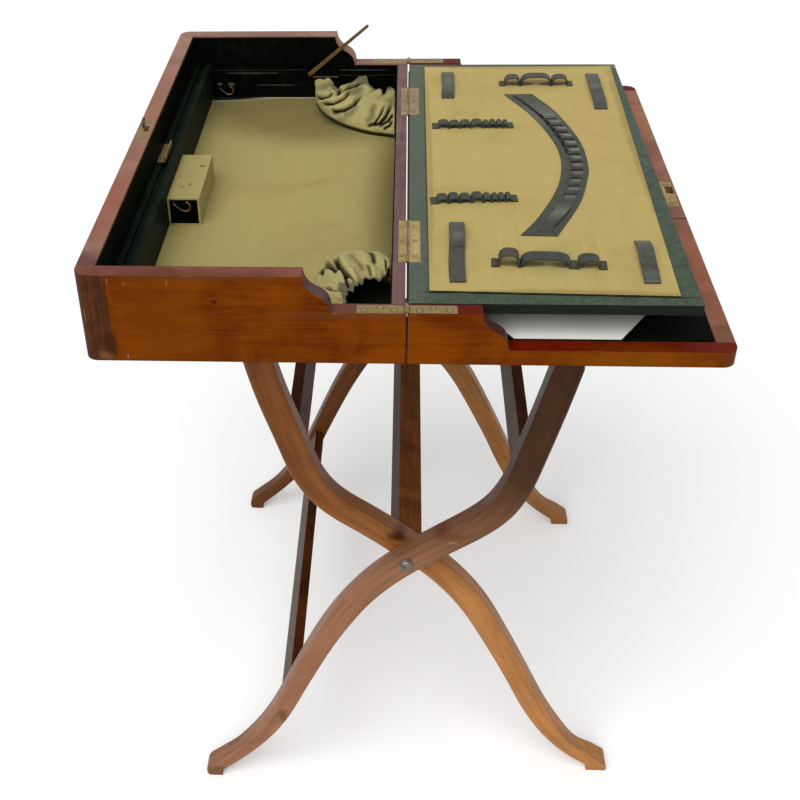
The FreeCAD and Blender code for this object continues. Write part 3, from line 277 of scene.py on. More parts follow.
# ---------------------------------------------------------------- shared effects
@effect(place=ORIGIN, stretch=(14, 240, 240), light=WHITE, dark=BLACK, streaks=0.6, patches=0.6)
def wood_figure(tree, place, stretch, light, dark, streaks, patches):
    """Streaks, pores and cloudy patches of polished mahogany."""
    along = stretched(tree, place, stretch)
    streak = cloud(tree, along, 1.0, 6.0, 0.62, 0.6)
    pores = ramp(tree, cloud(tree, along, 3.1, 3.0, 0.5), 0.62, 0.74)
    patch = cloud(tree, place, 17.0, 4.0, 0.6, 0.8)
    fleck = ramp(tree, cloud(tree, place, 120.0, 2.0, 0.5), 0.72, 0.77)
    depth = maths(tree, "MULTIPLY", ramp(tree, streak, 0.32, 0.72), streaks)
    cloudy = maths(tree, "MULTIPLY", ramp(tree, patch, 0.35, 0.75), patches)
    tone = blend_colour(tree, maths(tree, "ADD", depth, cloudy, clamp=True), light, dark)
    for specks in (pores, fleck):
        tone = blend_colour(tree, maths(tree, "MULTIPLY", specks, 0.35), tone, dark)
    return dict(Colour=tone, Roughness=maths(tree, "MULTIPLY_ADD", patch, 0.22, 0.24),
                Height=maths(tree, "SUBTRACT", streak, pores))


@effect(place=ORIGIN, centre=ORIGIN, reach=(1, 1, 1), ragged=0.3, soft=0.4)
def local_patch(tree, place, centre, reach, ragged, soft):
    """Mask of one ragged round patch about a place on the piece."""
    offset = vector_maths(tree, "SUBTRACT", place, centre)
    distance = vector_maths(tree, "LENGTH", vector_maths(tree, "DIVIDE", offset, reach), output=1)
    uneven = maths(tree, "SUBTRACT", cloud(tree, place, 75.0, 5.0, 0.7), 0.5)
    distance = maths(tree, "MULTIPLY_ADD", uneven, maths(tree, "MULTIPLY", ragged, 2.0), distance)
    return dict(Mask=ramp(tree, distance, 1.0, maths(tree, "SUBTRACT", 1.0, soft)))


@effect(place=ORIGIN, side=1.0)
def leg_sweep(tree, place, side):
    """Place straightened along a leg; side is 1 for the outer pair and -1 for the inner pair."""
    low = LEG_SWEEP[0][0]
    span = LEG_SWEEP[-1][0] - low
    high = LEG_SWEEP[-1][1]
    x, y, z = parts_of(tree, place)
    curve = tree.nodes.new("ShaderNodeFloatCurve")
    points = curve.mapping.curves[0].points
    for across, up in LEG_SWEEP[1:-1]:
        points.new(up / high, (across - low) / span)
    curve.mapping.update()
    tree.links.new(maths(tree, "DIVIDE", z, high), curve.inputs["Value"])
    middle = maths(tree, "MULTIPLY_ADD", curve.outputs[0], span, low)
    across = maths(tree, "MULTIPLY", maths(tree, "SUBTRACT", x, CROSSING.x), side)
    level = put(tree, "ShaderNodeCombineXYZ", {0: maths(tree, "SUBTRACT", across, middle), 1: y, 2: z})
    return dict(Place=level.outputs[0])


@effect(place=ORIGIN, radius=0.0015, spread=0.5)
def worn_edges(tree, place, radius, spread):
    """Mask of rubbed edges and a normal that rounds them slightly."""
    rounded = put(tree, "ShaderNodeBevel", {"Radius": radius}, samples=6).outputs[0]
    flat = put(tree, "ShaderNodeNewGeometry").outputs["Normal"]
    edge = ramp(tree, vector_maths(tree, "DOT_PRODUCT", rounded, flat, output=1), 0.995, 0.90)
    start = maths(tree, "SUBTRACT", 0.75, maths(tree, "MULTIPLY", spread, 0.5))
    broken = ramp(tree, cloud(tree, place, 95.0, 5.0, 0.7), start, 0.80)
    return dict(Mask=maths(tree, "MULTIPLY", edge, broken), Normal=rounded)


@effect(place=ORIGIN, base=BLACK, rubbed=(0.2, 0.2, 0.2, 1), rubbing=0.4)
def hide_grain(tree, place, base, rubbed, rubbing):
    """Pebbled leather with creases, rubbed patches and uneven gloss."""
    pebble = put(tree, "ShaderNodeTexVoronoi", {"Vector": place, "Scale": 1500.0},
                 feature="SMOOTH_F1").outputs["Distance"]
    crease = cloud(tree, place, 160.0, 6.0, 0.65, 1.2)
    patch = cloud(tree, place, 26.0, 6.0, 0.7, 0.5)
    worn = maths(tree, "MULTIPLY", ramp(tree, patch, 0.50, 0.80), rubbing)
    scratch = ramp(tree, cloud(tree, stretched(tree, place, (1.0, 0.22, 1.0)), 230.0, 3.0, 0.6), 0.68, 0.78)
    scratched = maths(tree, "MULTIPLY", scratch, maths(tree, "MULTIPLY", rubbing, 0.6))
    worn = maths(tree, "ADD", worn, scratched, clamp=True)
    darker = blend_colour(tree, ramp(tree, crease, 0.35, 0.60), (0.55, 0.55, 0.55), (1.0, 1.0, 1.0))
    tone = blend_colour(tree, 1.0, base, darker, "MULTIPLY")
    return dict(Colour=blend_colour(tree, worn, tone, rubbed),
                Roughness=maths(tree, "MULTIPLY_ADD", patch, 0.25, 0.36),
                Height=maths(tree, "MULTIPLY_ADD", pebble, 0.5, crease))


@effect(place=ORIGIN, base=WHITE, stain=(0.3, 0.2, 0.1, 1), staining=0.5, threads=420.0)
def fine_weave(tree, place, base, stain, staining, threads):
    """Crossing threads of a fine cloth with faded and stained patches."""
    warp, weft = [put(tree, "ShaderNodeTexWave", {"Vector": place, "Scale": threads, "Distortion": 0.6,
                                                  "Detail": 1.0}, bands_direction=way).outputs[1]
                  for way in "XY"]
    slub = cloud(tree, stretched(tree, place, (9.0, 160.0, 60.0)), 1.0, 4.0, 0.6)
    cross = cloud(tree, stretched(tree, place, (150.0, 8.0, 60.0)), 1.0, 4.0, 0.6)
    faded = cloud(tree, place, 7.0, 5.0, 0.65, 0.7)
    spots = ramp(tree, cloud(tree, place, 38.0, 6.0, 0.75, 0.4), 0.60, 0.82)
    stained = maths(tree, "ADD", ramp(tree, faded, 0.48, 0.78), spots, clamp=True)
    tone = blend_colour(tree, maths(tree, "MULTIPLY", stained, staining), base, stain)
    lines = maths(tree, "MULTIPLY_ADD", maths(tree, "ADD", slub, cross), 0.13, 0.87)
    shade = put(tree, "ShaderNodeCombineColor", {0: lines, 1: lines, 2: lines}).outputs[0]
    return dict(Colour=blend_colour(tree, 1.0, tone, shade, "MULTIPLY"),
                Roughness=maths(tree, "MULTIPLY_ADD", faded, 0.2, 0.5),
                Height=maths(tree, "MULTIPLY_ADD", maths(tree, "MAXIMUM", warp, weft), 0.5, slub))


@effect(place=ORIGIN, bright=WHITE, film=(0.1, 0.1, 0.1, 1), coverage=0.5)
def old_metal(tree, place, bright, film, coverage):
    """Bright metal under a broken film of tarnish or rust."""
    broad = cloud(tree, place, 140.0, 6.0, 0.7, 0.5)
    fine = cloud(tree, place, 900.0, 4.0, 0.6)
    mixed = maths(tree, "MULTIPLY_ADD", fine, 0.35, maths(tree, "MULTIPLY", broad, 0.65))
    level = maths(tree, "SUBTRACT", 0.80, maths(tree, "MULTIPLY", coverage, 0.6))
    covered = ramp(tree, mixed, maths(tree, "SUBTRACT", level, 0.20), maths(tree, "ADD", level, 0.20))
    return dict(Colour=blend_colour(tree, covered, bright, film),
                Roughness=maths(tree, "MULTIPLY_ADD", covered, 0.28, 0.34), Height=mixed)


# ---------------------------------------------------------------- materials
def new_material(name):
    """Empty material: its tree, its shader, and the place and the facing on the piece at rest."""
    material = bpy.data.materials.new(name)
    material.use_nodes = True
    tree = material.node_tree
    where = tree.nodes.new("ShaderNodeTexCoord").outputs
    return tree, tree.nodes["Principled BSDF"], where["Object"], where["Normal"]


def connect(tree, shader, tone, rough, height, distance, strength, normal=None, fixed=None):
    """Link colour, roughness and a bump from a height to the shader, and set its fixed values."""
    bump = put(tree, "ShaderNodeBump", {"Height": height, "Distance": distance, "Strength": strength})
    if normal is not None:
        tree.links.new(normal, bump.inputs["Normal"])
    for socket, result in (("Base Color", tone), ("Roughness", rough), ("Normal", bump.outputs[0])):
        tree.links.new(result, shader.inputs[socket])
    for socket, value in (fixed or {}).items():
        shader.inputs[socket].default_value = value


def shaded(tone, amount):
    """A colour made darker or lighter."""
    return [value * amount for value in tone]


def marks_on(axis, level, depth, *rows):
    """Marks on a plane: two places, two reaches, a colour, a strength, raggedness and maybe softness."""
    marks = []
    for first, second, wide, long, *rest in rows:
        centre = [first, second]
        centre.insert(axis, level)
        reach = [wide, long]
        reach.insert(axis, depth)
        marks.append((centre, reach, *rest))
    return marks


def marked(tree, spot, tone, marks):
    """Tone with ragged marks over it: (centre, reach, colour, strength, raggedness, softness)."""
    for centre, reach, mark, strength, ragged, *soft in marks:
        patch = use(tree, "Local patch", place=spot, centre=centre, reach=reach, ragged=ragged,
                    soft=soft[0] if soft else 0.4)
        tone = blend_colour(tree, maths(tree, "MULTIPLY", patch["Mask"], strength), tone, mark)
    return tone


def rubbed_edges(tree, spot, tone, radius, spread, amount, edge):
    """Tone with rubbed edges over it, and the normal that rounds them."""
    rubbed = use(tree, "Worn edges", place=spot, radius=radius, spread=spread)
    return blend_colour(tree, maths(tree, "MULTIPLY", rubbed["Mask"], amount), tone, edge), rubbed["Normal"]


def outer_face(tree, spot, facing):
    """Mask of the box's outer faces, apart from tops, inner faces and the curved steps."""
    where = parts_of(tree, spot)
    turned = parts_of(tree, facing)
    wall = 0.0165
    masks = []
    for axis, limit in ((0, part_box("well_end_board")[0].x), (1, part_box("well_front_board")[0].y)):
        outward = maths(tree, "MULTIPLY", turned[axis], maths(tree, "SIGN", where[axis]))
        outside = maths(tree, "GREATER_THAN", maths(tree, "ABSOLUTE", where[axis]), abs(limit) - wall)
        masks.append(maths(tree, "MULTIPLY", outward, outside))
    return ramp(tree, maths(tree, "MAXIMUM", *masks), 0.40, 0.60)


def polished(tree, shader, spot, wood, tone, shine, spread=0.5, radius=0.0016, edge=None):
    """Rubbed edges, gloss and a fine relief over a finished timber tone."""
    edge = edge or bpy.context.scene.desk_colours.worn
    tone, normal = rubbed_edges(tree, spot, tone, radius, spread, 0.75, edge)
    connect(tree, shader, tone, wood["Roughness"], wood["Height"], 0.0001, 0.35, normal,
            {"Specular IOR Level": shine})


def veneer(tree, spot, tone, edge):
    """Dark scratched veneer over a tone, left of a ragged edge."""
    colours = bpy.context.scene.desk_colours
    ragged = maths(tree, "MULTIPLY_ADD", cloud(tree, spot, 150.0, 3.0), 0.006, parts_of(tree, spot)[0])
    band = ramp(tree, ragged, edge + 0.0045, edge + 0.0015)
    scratches = cloud(tree, stretched(tree, spot, (420.0, 60.0, 22.0)), 1.0, 4.0, 0.7)
    mottled = maths(tree, "MULTIPLY", cloud(tree, spot, 75.0, 5.0, 0.7), 0.5)
    mottled = ramp(tree, maths(tree, "MULTIPLY_ADD", scratches, 0.5, mottled), 0.35, 0.70)
    dark = blend_colour(tree, mottled, colours.veneer_dark, colours.veneer_light)
    return blend_colour(tree, band, tone, dark)


def box_timber(name, stretch, rim, marks=(), rim_marks=(), veneer_edge=None):
    """Polished timber of the box: rim is the tone of its tops, steps and inner faces."""
    colours = bpy.context.scene.desk_colours
    tree, shader, spot, facing = new_material(name)
    wood = use(tree, "Wood figure", place=spot, stretch=stretch, light=colours.front_light,
               dark=colours.front_dark, streaks=0.45, patches=0.65)
    tone = wood["Colour"]
    if veneer_edge is not None:
        tone = veneer(tree, spot, tone, veneer_edge)
    smear = ramp(tree, cloud(tree, spot, 22.0, 5.0, 0.6, 0.4), 0.35, 0.75)
    polish = marked(tree, spot, blend_colour(tree, smear, rim, shaded(rim, 1.6)), rim_marks)
    tone = marked(tree, spot, blend_colour(tree, outer_face(tree, spot, facing), polish, tone), marks)
    polished(tree, shader, spot, wood, tone, 0.03, 0.55)


def plain_timber(name, light, depth, sides=None, shine=0.05):
    """Polished timber with its grain along the depth; sides is a painted reflection on faces that look left.
    """
    tree, shader, spot, facing = new_material(name)
    wood = use(tree, "Wood figure", place=spot, stretch=GRAIN_ALONG_Y, light=light,
               dark=shaded(light, depth), streaks=0.6, patches=0.8)
    tone = wood["Colour"]
    if sides is not None:
        tone = blend_colour(tree, ramp(tree, parts_of(tree, facing)[0], -0.25, -0.75), tone, sides)
    polished(tree, shader, spot, wood, tone, shine)


def leg_timber(name, side, low, high, change, marks=()):
    """Leg timber with its grain along the sweep and another tone above a height; the lighter tone below is
    partly painted front light.
    """
    tree, shader, spot, _ = new_material(name)
    straight = use(tree, "Leg sweep", place=spot, side=side)["Place"]
    above = ramp(tree, parts_of(tree, spot)[2], change - 0.11, change + 0.11)
    light = blend_colour(tree, above, low, high)
    dark = blend_colour(tree, above, shaded(low, 0.45), shaded(high, 0.45))
    wood = use(tree, "Wood figure", place=straight, stretch=(130, 130, 7), light=light, dark=dark,
               streaks=0.55, patches=0.35)
    tone = marked(tree, spot, wood["Colour"], marks)
    polished(tree, shader, spot, wood, tone, 0.12, 1.20, 0.0028, (0.060, 0.024, 0.010))


def shade_upright_faces(tree, facing, tone, sides):
    """Tone of upward faces with a painted shade on the upright ones."""
    if sides is None:
        return tone
    return blend_colour(tree, ramp(tree, parts_of(tree, facing)[2], 0.75, 0.35), tone, sides)


def leather(name, base, rubbing, edge=None, gloss=0.15, marks=(), sides=None, hollows=False):
    """Old leather with rubbed patches and marks, and raw cut edges or painted shade in its hollows with
    painted highlights on its crests.
    """
    colours = bpy.context.scene.desk_colours
    tree, shader, spot, facing = new_material(name)
    hide = use(tree, "Hide grain", place=spot, base=base, rubbed=colours.scuffed, rubbing=rubbing)
    # sides is a painted shade on the leather's upright faces.
    tone = shade_upright_faces(tree, facing, marked(tree, spot, hide["Colour"], marks), sides)
    if hollows:
        normal = None
        # Painted highlight on the crests and painted shade in the hollows, both kept on the vertices.
        crest = maths(tree, "MULTIPLY", painted(tree, "crest"), 0.7)
        tone = blend_colour(tree, crest, tone, (0.230, 0.255, 0.215))
        hollow = ramp(tree, painted(tree, "hollow"), 0.05, 0.50)
        tone = blend_colour(tree, hollow, tone, (0.001, 0.001, 0.001))
    else:
        tone, normal = rubbed_edges(tree, spot, tone, 0.0008, 0.7, 0.8, edge or colours.raw_edge)
    connect(tree, shader, tone, hide["Roughness"], hide["Height"], 0.0002, 0.5, normal,
            {"Specular IOR Level": gloss})


def cloth(name, base, staining, threads=420.0, marks=(), sides=None, fray=0.7):
    """Glazed cloth pasted on board, with marks and a pale rubbed edge."""
    colours = bpy.context.scene.desk_colours
    tree, shader, spot, facing = new_material(name)
    weave = use(tree, "Fine weave", place=spot, base=base, stain=colours.stain, staining=staining,
                threads=threads)
    # sides is a painted shade on the cloth's upright edges.
    tone = shade_upright_faces(tree, facing, marked(tree, spot, weave["Colour"], marks), sides)
    tone, normal = rubbed_edges(tree, spot, tone, 0.0009, 0.8, fray, colours.frayed)
    connect(tree, shader, tone, weave["Roughness"], weave["Height"], 0.0001, 0.4, normal,
            {"Sheen Weight": 0.03, "Specular IOR Level": 0.05})


def silk():
    """Crumpled silk with painted shade in the creases and broad patches, painted highlights on the crests,
    and grey at the frayed hem.
    """
    colours = bpy.context.scene.desk_colours
    tree, shader, spot, _ = new_material("Silk")
    weave = use(tree, "Fine weave", place=spot, base=colours.silk, stain=colours.silk_stain_and_fold_shade, staining=0.25,
                threads=700.0)
    crumple = cloud(tree, spot, 110.0, 5.0, 0.65, 1.4)
    shade = (0.085, 0.080, 0.030)
    # Broad painted shade patches over the lobes and beside the rail.
    sheet = marked(tree, spot, weave["Colour"], (
        ((-0.1010, 0.262, 0.7100), (0.020, 0.024, 0.04), shade, 0.70, 0.6, 0.8),
        ((-0.0680, 0.250, 0.7150), (0.017, 0.030, 0.04), shade, 0.75, 0.6, 0.6),
        ((-0.0200, 0.210, 0.7050), (0.014, 0.038, 0.04), (0.070, 0.085, 0.035), 0.75, 0.5, 0.8),
        ((-0.0800, 0.200, 0.7000), (0.020, 0.012, 0.04), shade, 0.35, 0.4, 0.9),
        ((-0.0750, -0.205, 0.7050), (0.012, 0.025, 0.04), shade, 0.35, 0.4, 0.9)))
    # Painted highlight on the fold crests.
    crest = maths(tree, "MULTIPLY", painted(tree, "crest"), 0.38, clamp=True)
    sheet = blend_colour(tree, crest, sheet, (0.560, 0.520, 0.250))
    # Painted shade in the creases, going black in the shadow line at the seam.
    crease = painted(tree, "crease")
    tone = blend_colour(tree, ramp(tree, crease, 0.03, 0.60), sheet, colours.silk_stain_and_fold_shade)
    tone = blend_colour(tree, ramp(tree, crease, 0.55, 0.90), tone, (0.004, 0.004, 0.002))
    uneven = maths(tree, "SUBTRACT", cloud(tree, spot, 240.0, 3.0), 0.5)
    ragged = maths(tree, "MULTIPLY_ADD", uneven, 0.5, painted(tree, "hem"))
    tone = blend_colour(tree, ramp(tree, ragged, 0.35, 0.70), tone, colours.silk_hem)
    height = maths(tree, "MULTIPLY_ADD", crumple, 6.0, weave["Height"])
    connect(tree, shader, tone, weave["Roughness"], height, 0.0007, 0.55,
            fixed={"Sheen Weight": 0.06, "Sheen Roughness": 0.35, "Specular IOR Level": 0.05})


def metal(name, bright, film, coverage, shine=0.85, marks=()):
    """Old metal with marks; shine is how metallic the film lets it look."""
    tree, shader, spot, _ = new_material(name)
    skin = use(tree, "Old metal", place=spot, bright=bright, film=film, coverage=coverage)
    bright_edge = [min(1.0, value) for value in shaded(bright, 1.35)]
    tone, normal = rubbed_edges(tree, spot, skin["Colour"], 0.0005, 0.8, 0.7, bright_edge)
    tone = marked(tree, spot, tone, marks)
    connect(tree, shader, tone, skin["Roughness"], skin["Height"], 0.00012, 0.5, normal,
            {"Metallic": shine})


def blotting_paper():
    """Soft paper with faint fibres and grey smears."""
    tree, shader, spot, _ = new_material("Blotting paper")
    fibre = cloud(tree, spot, 900.0, 4.0, 0.7)
    smear = ramp(tree, cloud(tree, spot, 11.0, 5.0, 0.6, 0.5), 0.45, 0.80)
    tone = blend_colour(tree, maths(tree, "MULTIPLY", smear, 0.3), bpy.context.scene.desk_colours.paper,
                        (0.55, 0.54, 0.48))
    connect(tree, shader, tone, maths(tree, "MULTIPLY_ADD", smear, 0.05, 0.85), fibre, 0.0001, 0.3)


GRAIN_ALONG_X = (13, 230, 230)
GRAIN_ALONG_Y = (230, 13, 230)


def make_box_timbers():
    """Timbers of the well and the tray."""
    colours = bpy.context.scene.desk_colours
    front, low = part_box("well_front_board")[0].yz
    scratch = (0.42, 0.28, 0.17)
    corner_marks = marks_on(
        1, front, 0.02,
        (-0.2640, 0.704, 0.0075, 0.017, colours.veneer_dark, 0.75, 0.25),
        (-0.2700, low + 0.005, 0.0110, 0.0080, (0.22, 0.085, 0.025), 0.55, 1.2, 0.9),
        (-0.2820, low, 0.0140, 0.0030, (0.040, 0.032, 0.020), 0.90, 0.6),
        (-0.2596, 0.771, 0.0004, 0.0045, scratch, 0.45, 0.8),
        (-0.2455, 0.768, 0.0004, 0.0025, scratch, 0.45, 0.8),
        (-0.2075, 0.7705, 0.0004, 0.0045, scratch, 0.50, 0.8),
        (-0.2840, 0.735, 0.0005, 0.0090, scratch, 0.35, 0.8),
        (-0.2500, 0.693, 0.0005, 0.0030, scratch, 0.50, 0.4),
        (-0.1680, 0.7505, 0.0040, 0.0018, (0.045, 0.010, 0.0), 0.80, 0.4),
        (-0.2150, 0.725, 0.0500, 0.0450, (0.110, 0.026, 0.0), 0.40, 0.3, 0.9),
        (-0.19, 0.7765, 0.10, 0.008, colours.veneer_light, 0.6, 0.5, 0.8),
        (-0.06, 0.738, 0.10, 0.005, colours.veneer_light, 0.5, 0.5, 0.8))
    # The far board's top is faded polish with a painted pinkish reflection.
    box_timber("Front timber", GRAIN_ALONG_X, colours.faded_rim_and_sheen)
    # Middle of the boards' curved step, measured from the hinge line.
    step = 0.0665 + 0.024 / 2
    curve = [((-step, front, 0.757), (0.020, 0.03, 0.026), (0.105, 0.062, 0.060), 0.85, 0.2)]
    box_timber("Corner timber", GRAIN_ALONG_X, colours.rim, corner_marks, curve, -0.262)
    knot = [((0.0985, front, 0.7115), (0.004, 0.02, 0.0030), (0.020, 0.006, 0.002), 0.95, 0.5),
            ((0.283, front, 0.696), (0.014, 0.03, 0.010), colours.veneer_light, 0.60, 0.5, 0.8),
            ((0.20, front, 0.693), (0.09, 0.03, 0.018), (0.220, 0.066, 0.001), 0.55, 0.3, 0.9)]
    curves = [((step, y, 0.722), (0.022, 0.03, 0.026), (0.070, 0.026, 0.024), 0.9, 0.2)
              for y in (front, -front)]
    box_timber("Tray timber", GRAIN_ALONG_X, colours.tray_rim, knot, curves)
    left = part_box("well_end_board")[0].x
    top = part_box("well_end_board")[1].z
    aged = [((left, 0.06, top), (0.04, 0.16, 0.05), (0.33, 0.125, 0.075), 0.45, 0.3),
            ((left, -0.17, top), (0.05, 0.11, 0.05), (0.300, 0.090, 0.056), 0.65, 0.3, 0.8),
            ((left, -0.30, top), (0.05, 0.050, 0.05), (0.115, 0.048, 0.042), 0.90, 0.3, 0.7)]
    # The left end's top is faded polish with a painted pinkish reflection.
    box_timber("End timber", GRAIN_ALONG_Y, colours.faded_rim_and_sheen, rim_marks=aged)
    end, _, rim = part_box("tray_end_board")[1]
    pale = [((end, 0.23, rim), (0.03, 0.11, 0.02), (0.36, 0.15, 0.075), 0.5, 0.3),
            ((end - 0.004, -0.18, rim), (0.016, 0.12, 0.01), (0.30, 0.095, 0.045), 0.5, 0.3),
            ((end - 0.004, -0.285, rim), (0.020, 0.03, 0.02), (0.12, 0.055, 0.030), 0.7, 0.4),
            ((end, -0.058, rim), (0.03, 0.0016, 0.01), (0.035, 0.010, 0.006), 0.9, 0.1),
            ((end, 0.249, rim), (0.03, 0.0016, 0.01), (0.05, 0.015, 0.008), 0.8, 0.1),
            # The last mark is painted shade inside the strike plate's hole.
            ((0.2830, 0.002, rim - 0.012), (0.0075, 0.015, 0.0110), (0.003, 0.002, 0.001), 1.0, 0.0, 0.1)]
    box_timber("Tray end timber", GRAIN_ALONG_Y, colours.tray_end, rim_marks=pale)


def make_stand_timbers():
    """Timbers of the hinge rail, the bottoms, the bars and the legs."""
    colours = bpy.context.scene.desk_colours
    plain_timber("Rail timber", colours.rail, 0.5)
    plain_timber("Bottom timber", colours.leg_red, 0.4)
    # The grey on the bars' left-facing faces is a painted reflection of the white surroundings.
    plain_timber("Bar timber", colours.bar_red, 0.35, colours.bar_side_reflection, 0.02)
    plain_timber("Centre bar timber", colours.leg_red, 0.4, colours.bar_side_reflection, 0.01)
    x, _, z = CROSSING
    blotch = [((-0.1425, -0.237, 0.118), (0.009, 0.03, 0.016), (0.075, 0.026, 0.012), 0.6, 0.5, 0.8),
              ((-0.232, -0.237, 0.008), (0.020, 0.05, 0.012), (0.10, 0.035, 0.015), 0.6, 0.4),
              ((x + 0.040, -0.225, z + 0.043), (0.045, 0.03, 0.011), (0.100, 0.018, 0.004), 0.75, 0.25, 0.9),
              ((x + 0.050, -0.237, z + 0.033), (0.006, 0.03, 0.0016), colours.worn, 0.7, 0.5)]
    # dim: painted shade on the inner front leg where it passes behind the outer leg, with a thin light line
    # above it.
    dim = [((x - 0.008, -0.2115, z + 0.018), (0.020, 0.03, 0.012), (0.045, 0.008, 0.003), 0.95, 0.3, 0.9),
           ((x - 0.004, -0.2115, z + 0.027), (0.006, 0.03, 0.003), (0.42, 0.14, 0.03), 0.9, 0.4)]
    # Below each change height, the lighter tone is partly painted front light on the lower legs.
    leg_timber("Outer front leg timber", 1.0, colours.leg_tan, colours.leg_dark, 0.42, blotch)
    leg_timber("Inner front leg timber", -1.0, colours.leg_gold, colours.leg_red, 0.36, dim)
    leg_timber("Outer back leg timber", 1.0, shaded(colours.leg_red, 0.6), colours.leg_dark, 0.45)
    leg_timber("Inner back leg timber", -1.0, shaded(colours.leg_gold, 0.75), colours.leg_red, 0.36)


def make_leathers():
    """Leathers of the lining, the ledge, the flap and the blotter."""
    colours = bpy.context.scene.desk_colours
    scuffs = marks_on(1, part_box("side_linings")[1].y, 0.01,
                      *[(x, z, wide, high, (0.085, 0.085, 0.070), 0.5, 0.9) for x, z, wide, high in (
                          (-0.20, 0.728, 0.050, 0.0012), (-0.17, 0.712, 0.030, 0.0010),
                          (-0.06, 0.732, 0.040, 0.0010))])
    leather("Lining leather", colours.lining, 0.05, gloss=0.01, marks=scuffs)
    # The ledge's pale green edge tone is a painted highlight along its edges, laid on through the
    # rubbed-edge mask.
    leather("Ledge leather", colours.ledge, 0.12, (0.045, 0.085, 0.045), 0.03)
    leather("Seam leather", (0.030, 0.025, 0.018), 0.30)
    flap_low, flap_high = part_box("flap_board")
    frame_marks = marks_on(
        2, LEATHER_TOP, 0.01,
        (0.2520, -0.0060, 0.007, 0.0016, (0.160, 0.190, 0.150), 0.50, 0.4, 0.8),
        (flap_low.x, 0.0, 0.024, 0.70, colours.scuffed, 0.30, 0.2),
        (flap_high.x, 0.288, 0.03, 0.02, (0.16, 0.15, 0.10), 0.6, 0.5),
        # Painted shadow line along the panel's front edge.
        *[(0.035 + 0.04 * part, -0.2725 - 0.0011 * part, 0.028, 0.0017, (0.006, 0.007, 0.004), 0.85, 0.25)
          for part in range(6)],
        # Painted shadow line along the panel's left edge.
        (0.0195, 0.0035, 0.0011, 0.275, (0.030, 0.022, 0.010), 0.80, 0.1),
        *[(x, y, 0.0022, 0.0014, (0.020, 0.030, 0.020), 0.80, 0.7)
          for x, y in ((0.0147, 0.0400), (0.0138, -0.1030), (0.0100, 0.1800), (0.2530, -0.1200))])
    # The last colour is a painted shade on the board's upright faces.
    leather("Flap leather", colours.leather, 0.25, (0.075, 0.080, 0.060), 0.10, frame_marks,
            (0.008, 0.010, 0.006))
    # Painted highlights and painted shade lines where the straps arch, and a pale scuff at the front right
    # strap's end.
    light = (0.135, 0.150, 0.120)
    dark = (0.010, 0.012, 0.008)
    bands = marks_on(
        2, PANEL_TOP, 0.02,
        *[(x, y, 0.012, reach, tone, strength, 0.08, 0.8) for x, y, reach, tone, strength in (
            (0.047, -0.1770, 0.0120, light, 0.65), (0.047, -0.1955, 0.0016, dark, 0.85),
            (0.047, -0.1500, 0.0030, light, 0.40), (0.048, 0.2250, 0.0200, light, 0.60),
            (0.048, 0.1800, 0.0050, dark, 0.40), (0.2235, 0.2020, 0.0120, light, 0.55),
            (0.2235, 0.1850, 0.0060, dark, 0.50), (0.220, -0.1860, 0.0060, light, 0.55),
            (0.219, -0.2440, 0.0120, light, 0.35), (0.219, -0.2550, 0.0015, (0.20, 0.20, 0.16), 0.60))])
    leather("Trim leather", colours.trim, 0.35, gloss=0.15, marks=bands)
    browned = marks_on(2, LEATHER_TOP + 0.010, 0.012,
                       *[(x, y, 0.014, 0.016, (0.085, 0.055, 0.038), 0.6, 0.5, 0.7)
                         for x, y in ((0.125, 0.222), (0.153, 0.222), (0.182, 0.222), (0.092, -0.222))])
    leather("Loop leather", shaded(colours.trim, 0.85), 0.30, (0.030, 0.026, 0.016), 0.10, browned)
    shades = marks_on(2, PANEL_TOP, 0.02,
                      (0.150, 0.120, 0.050, 0.060, (0.150, 0.160, 0.130), 0.45, 0.2, 0.9),
                      (0.128, -0.140, 0.040, 0.040, (0.030, 0.036, 0.028), 0.40, 0.2, 0.9))
    leather("Holder leather", shaded(colours.trim, 0.85), 0.60, gloss=0.12, marks=shades, hollows=True)
    leather("Blotter leather", colours.lining, 0.02, gloss=0.01)


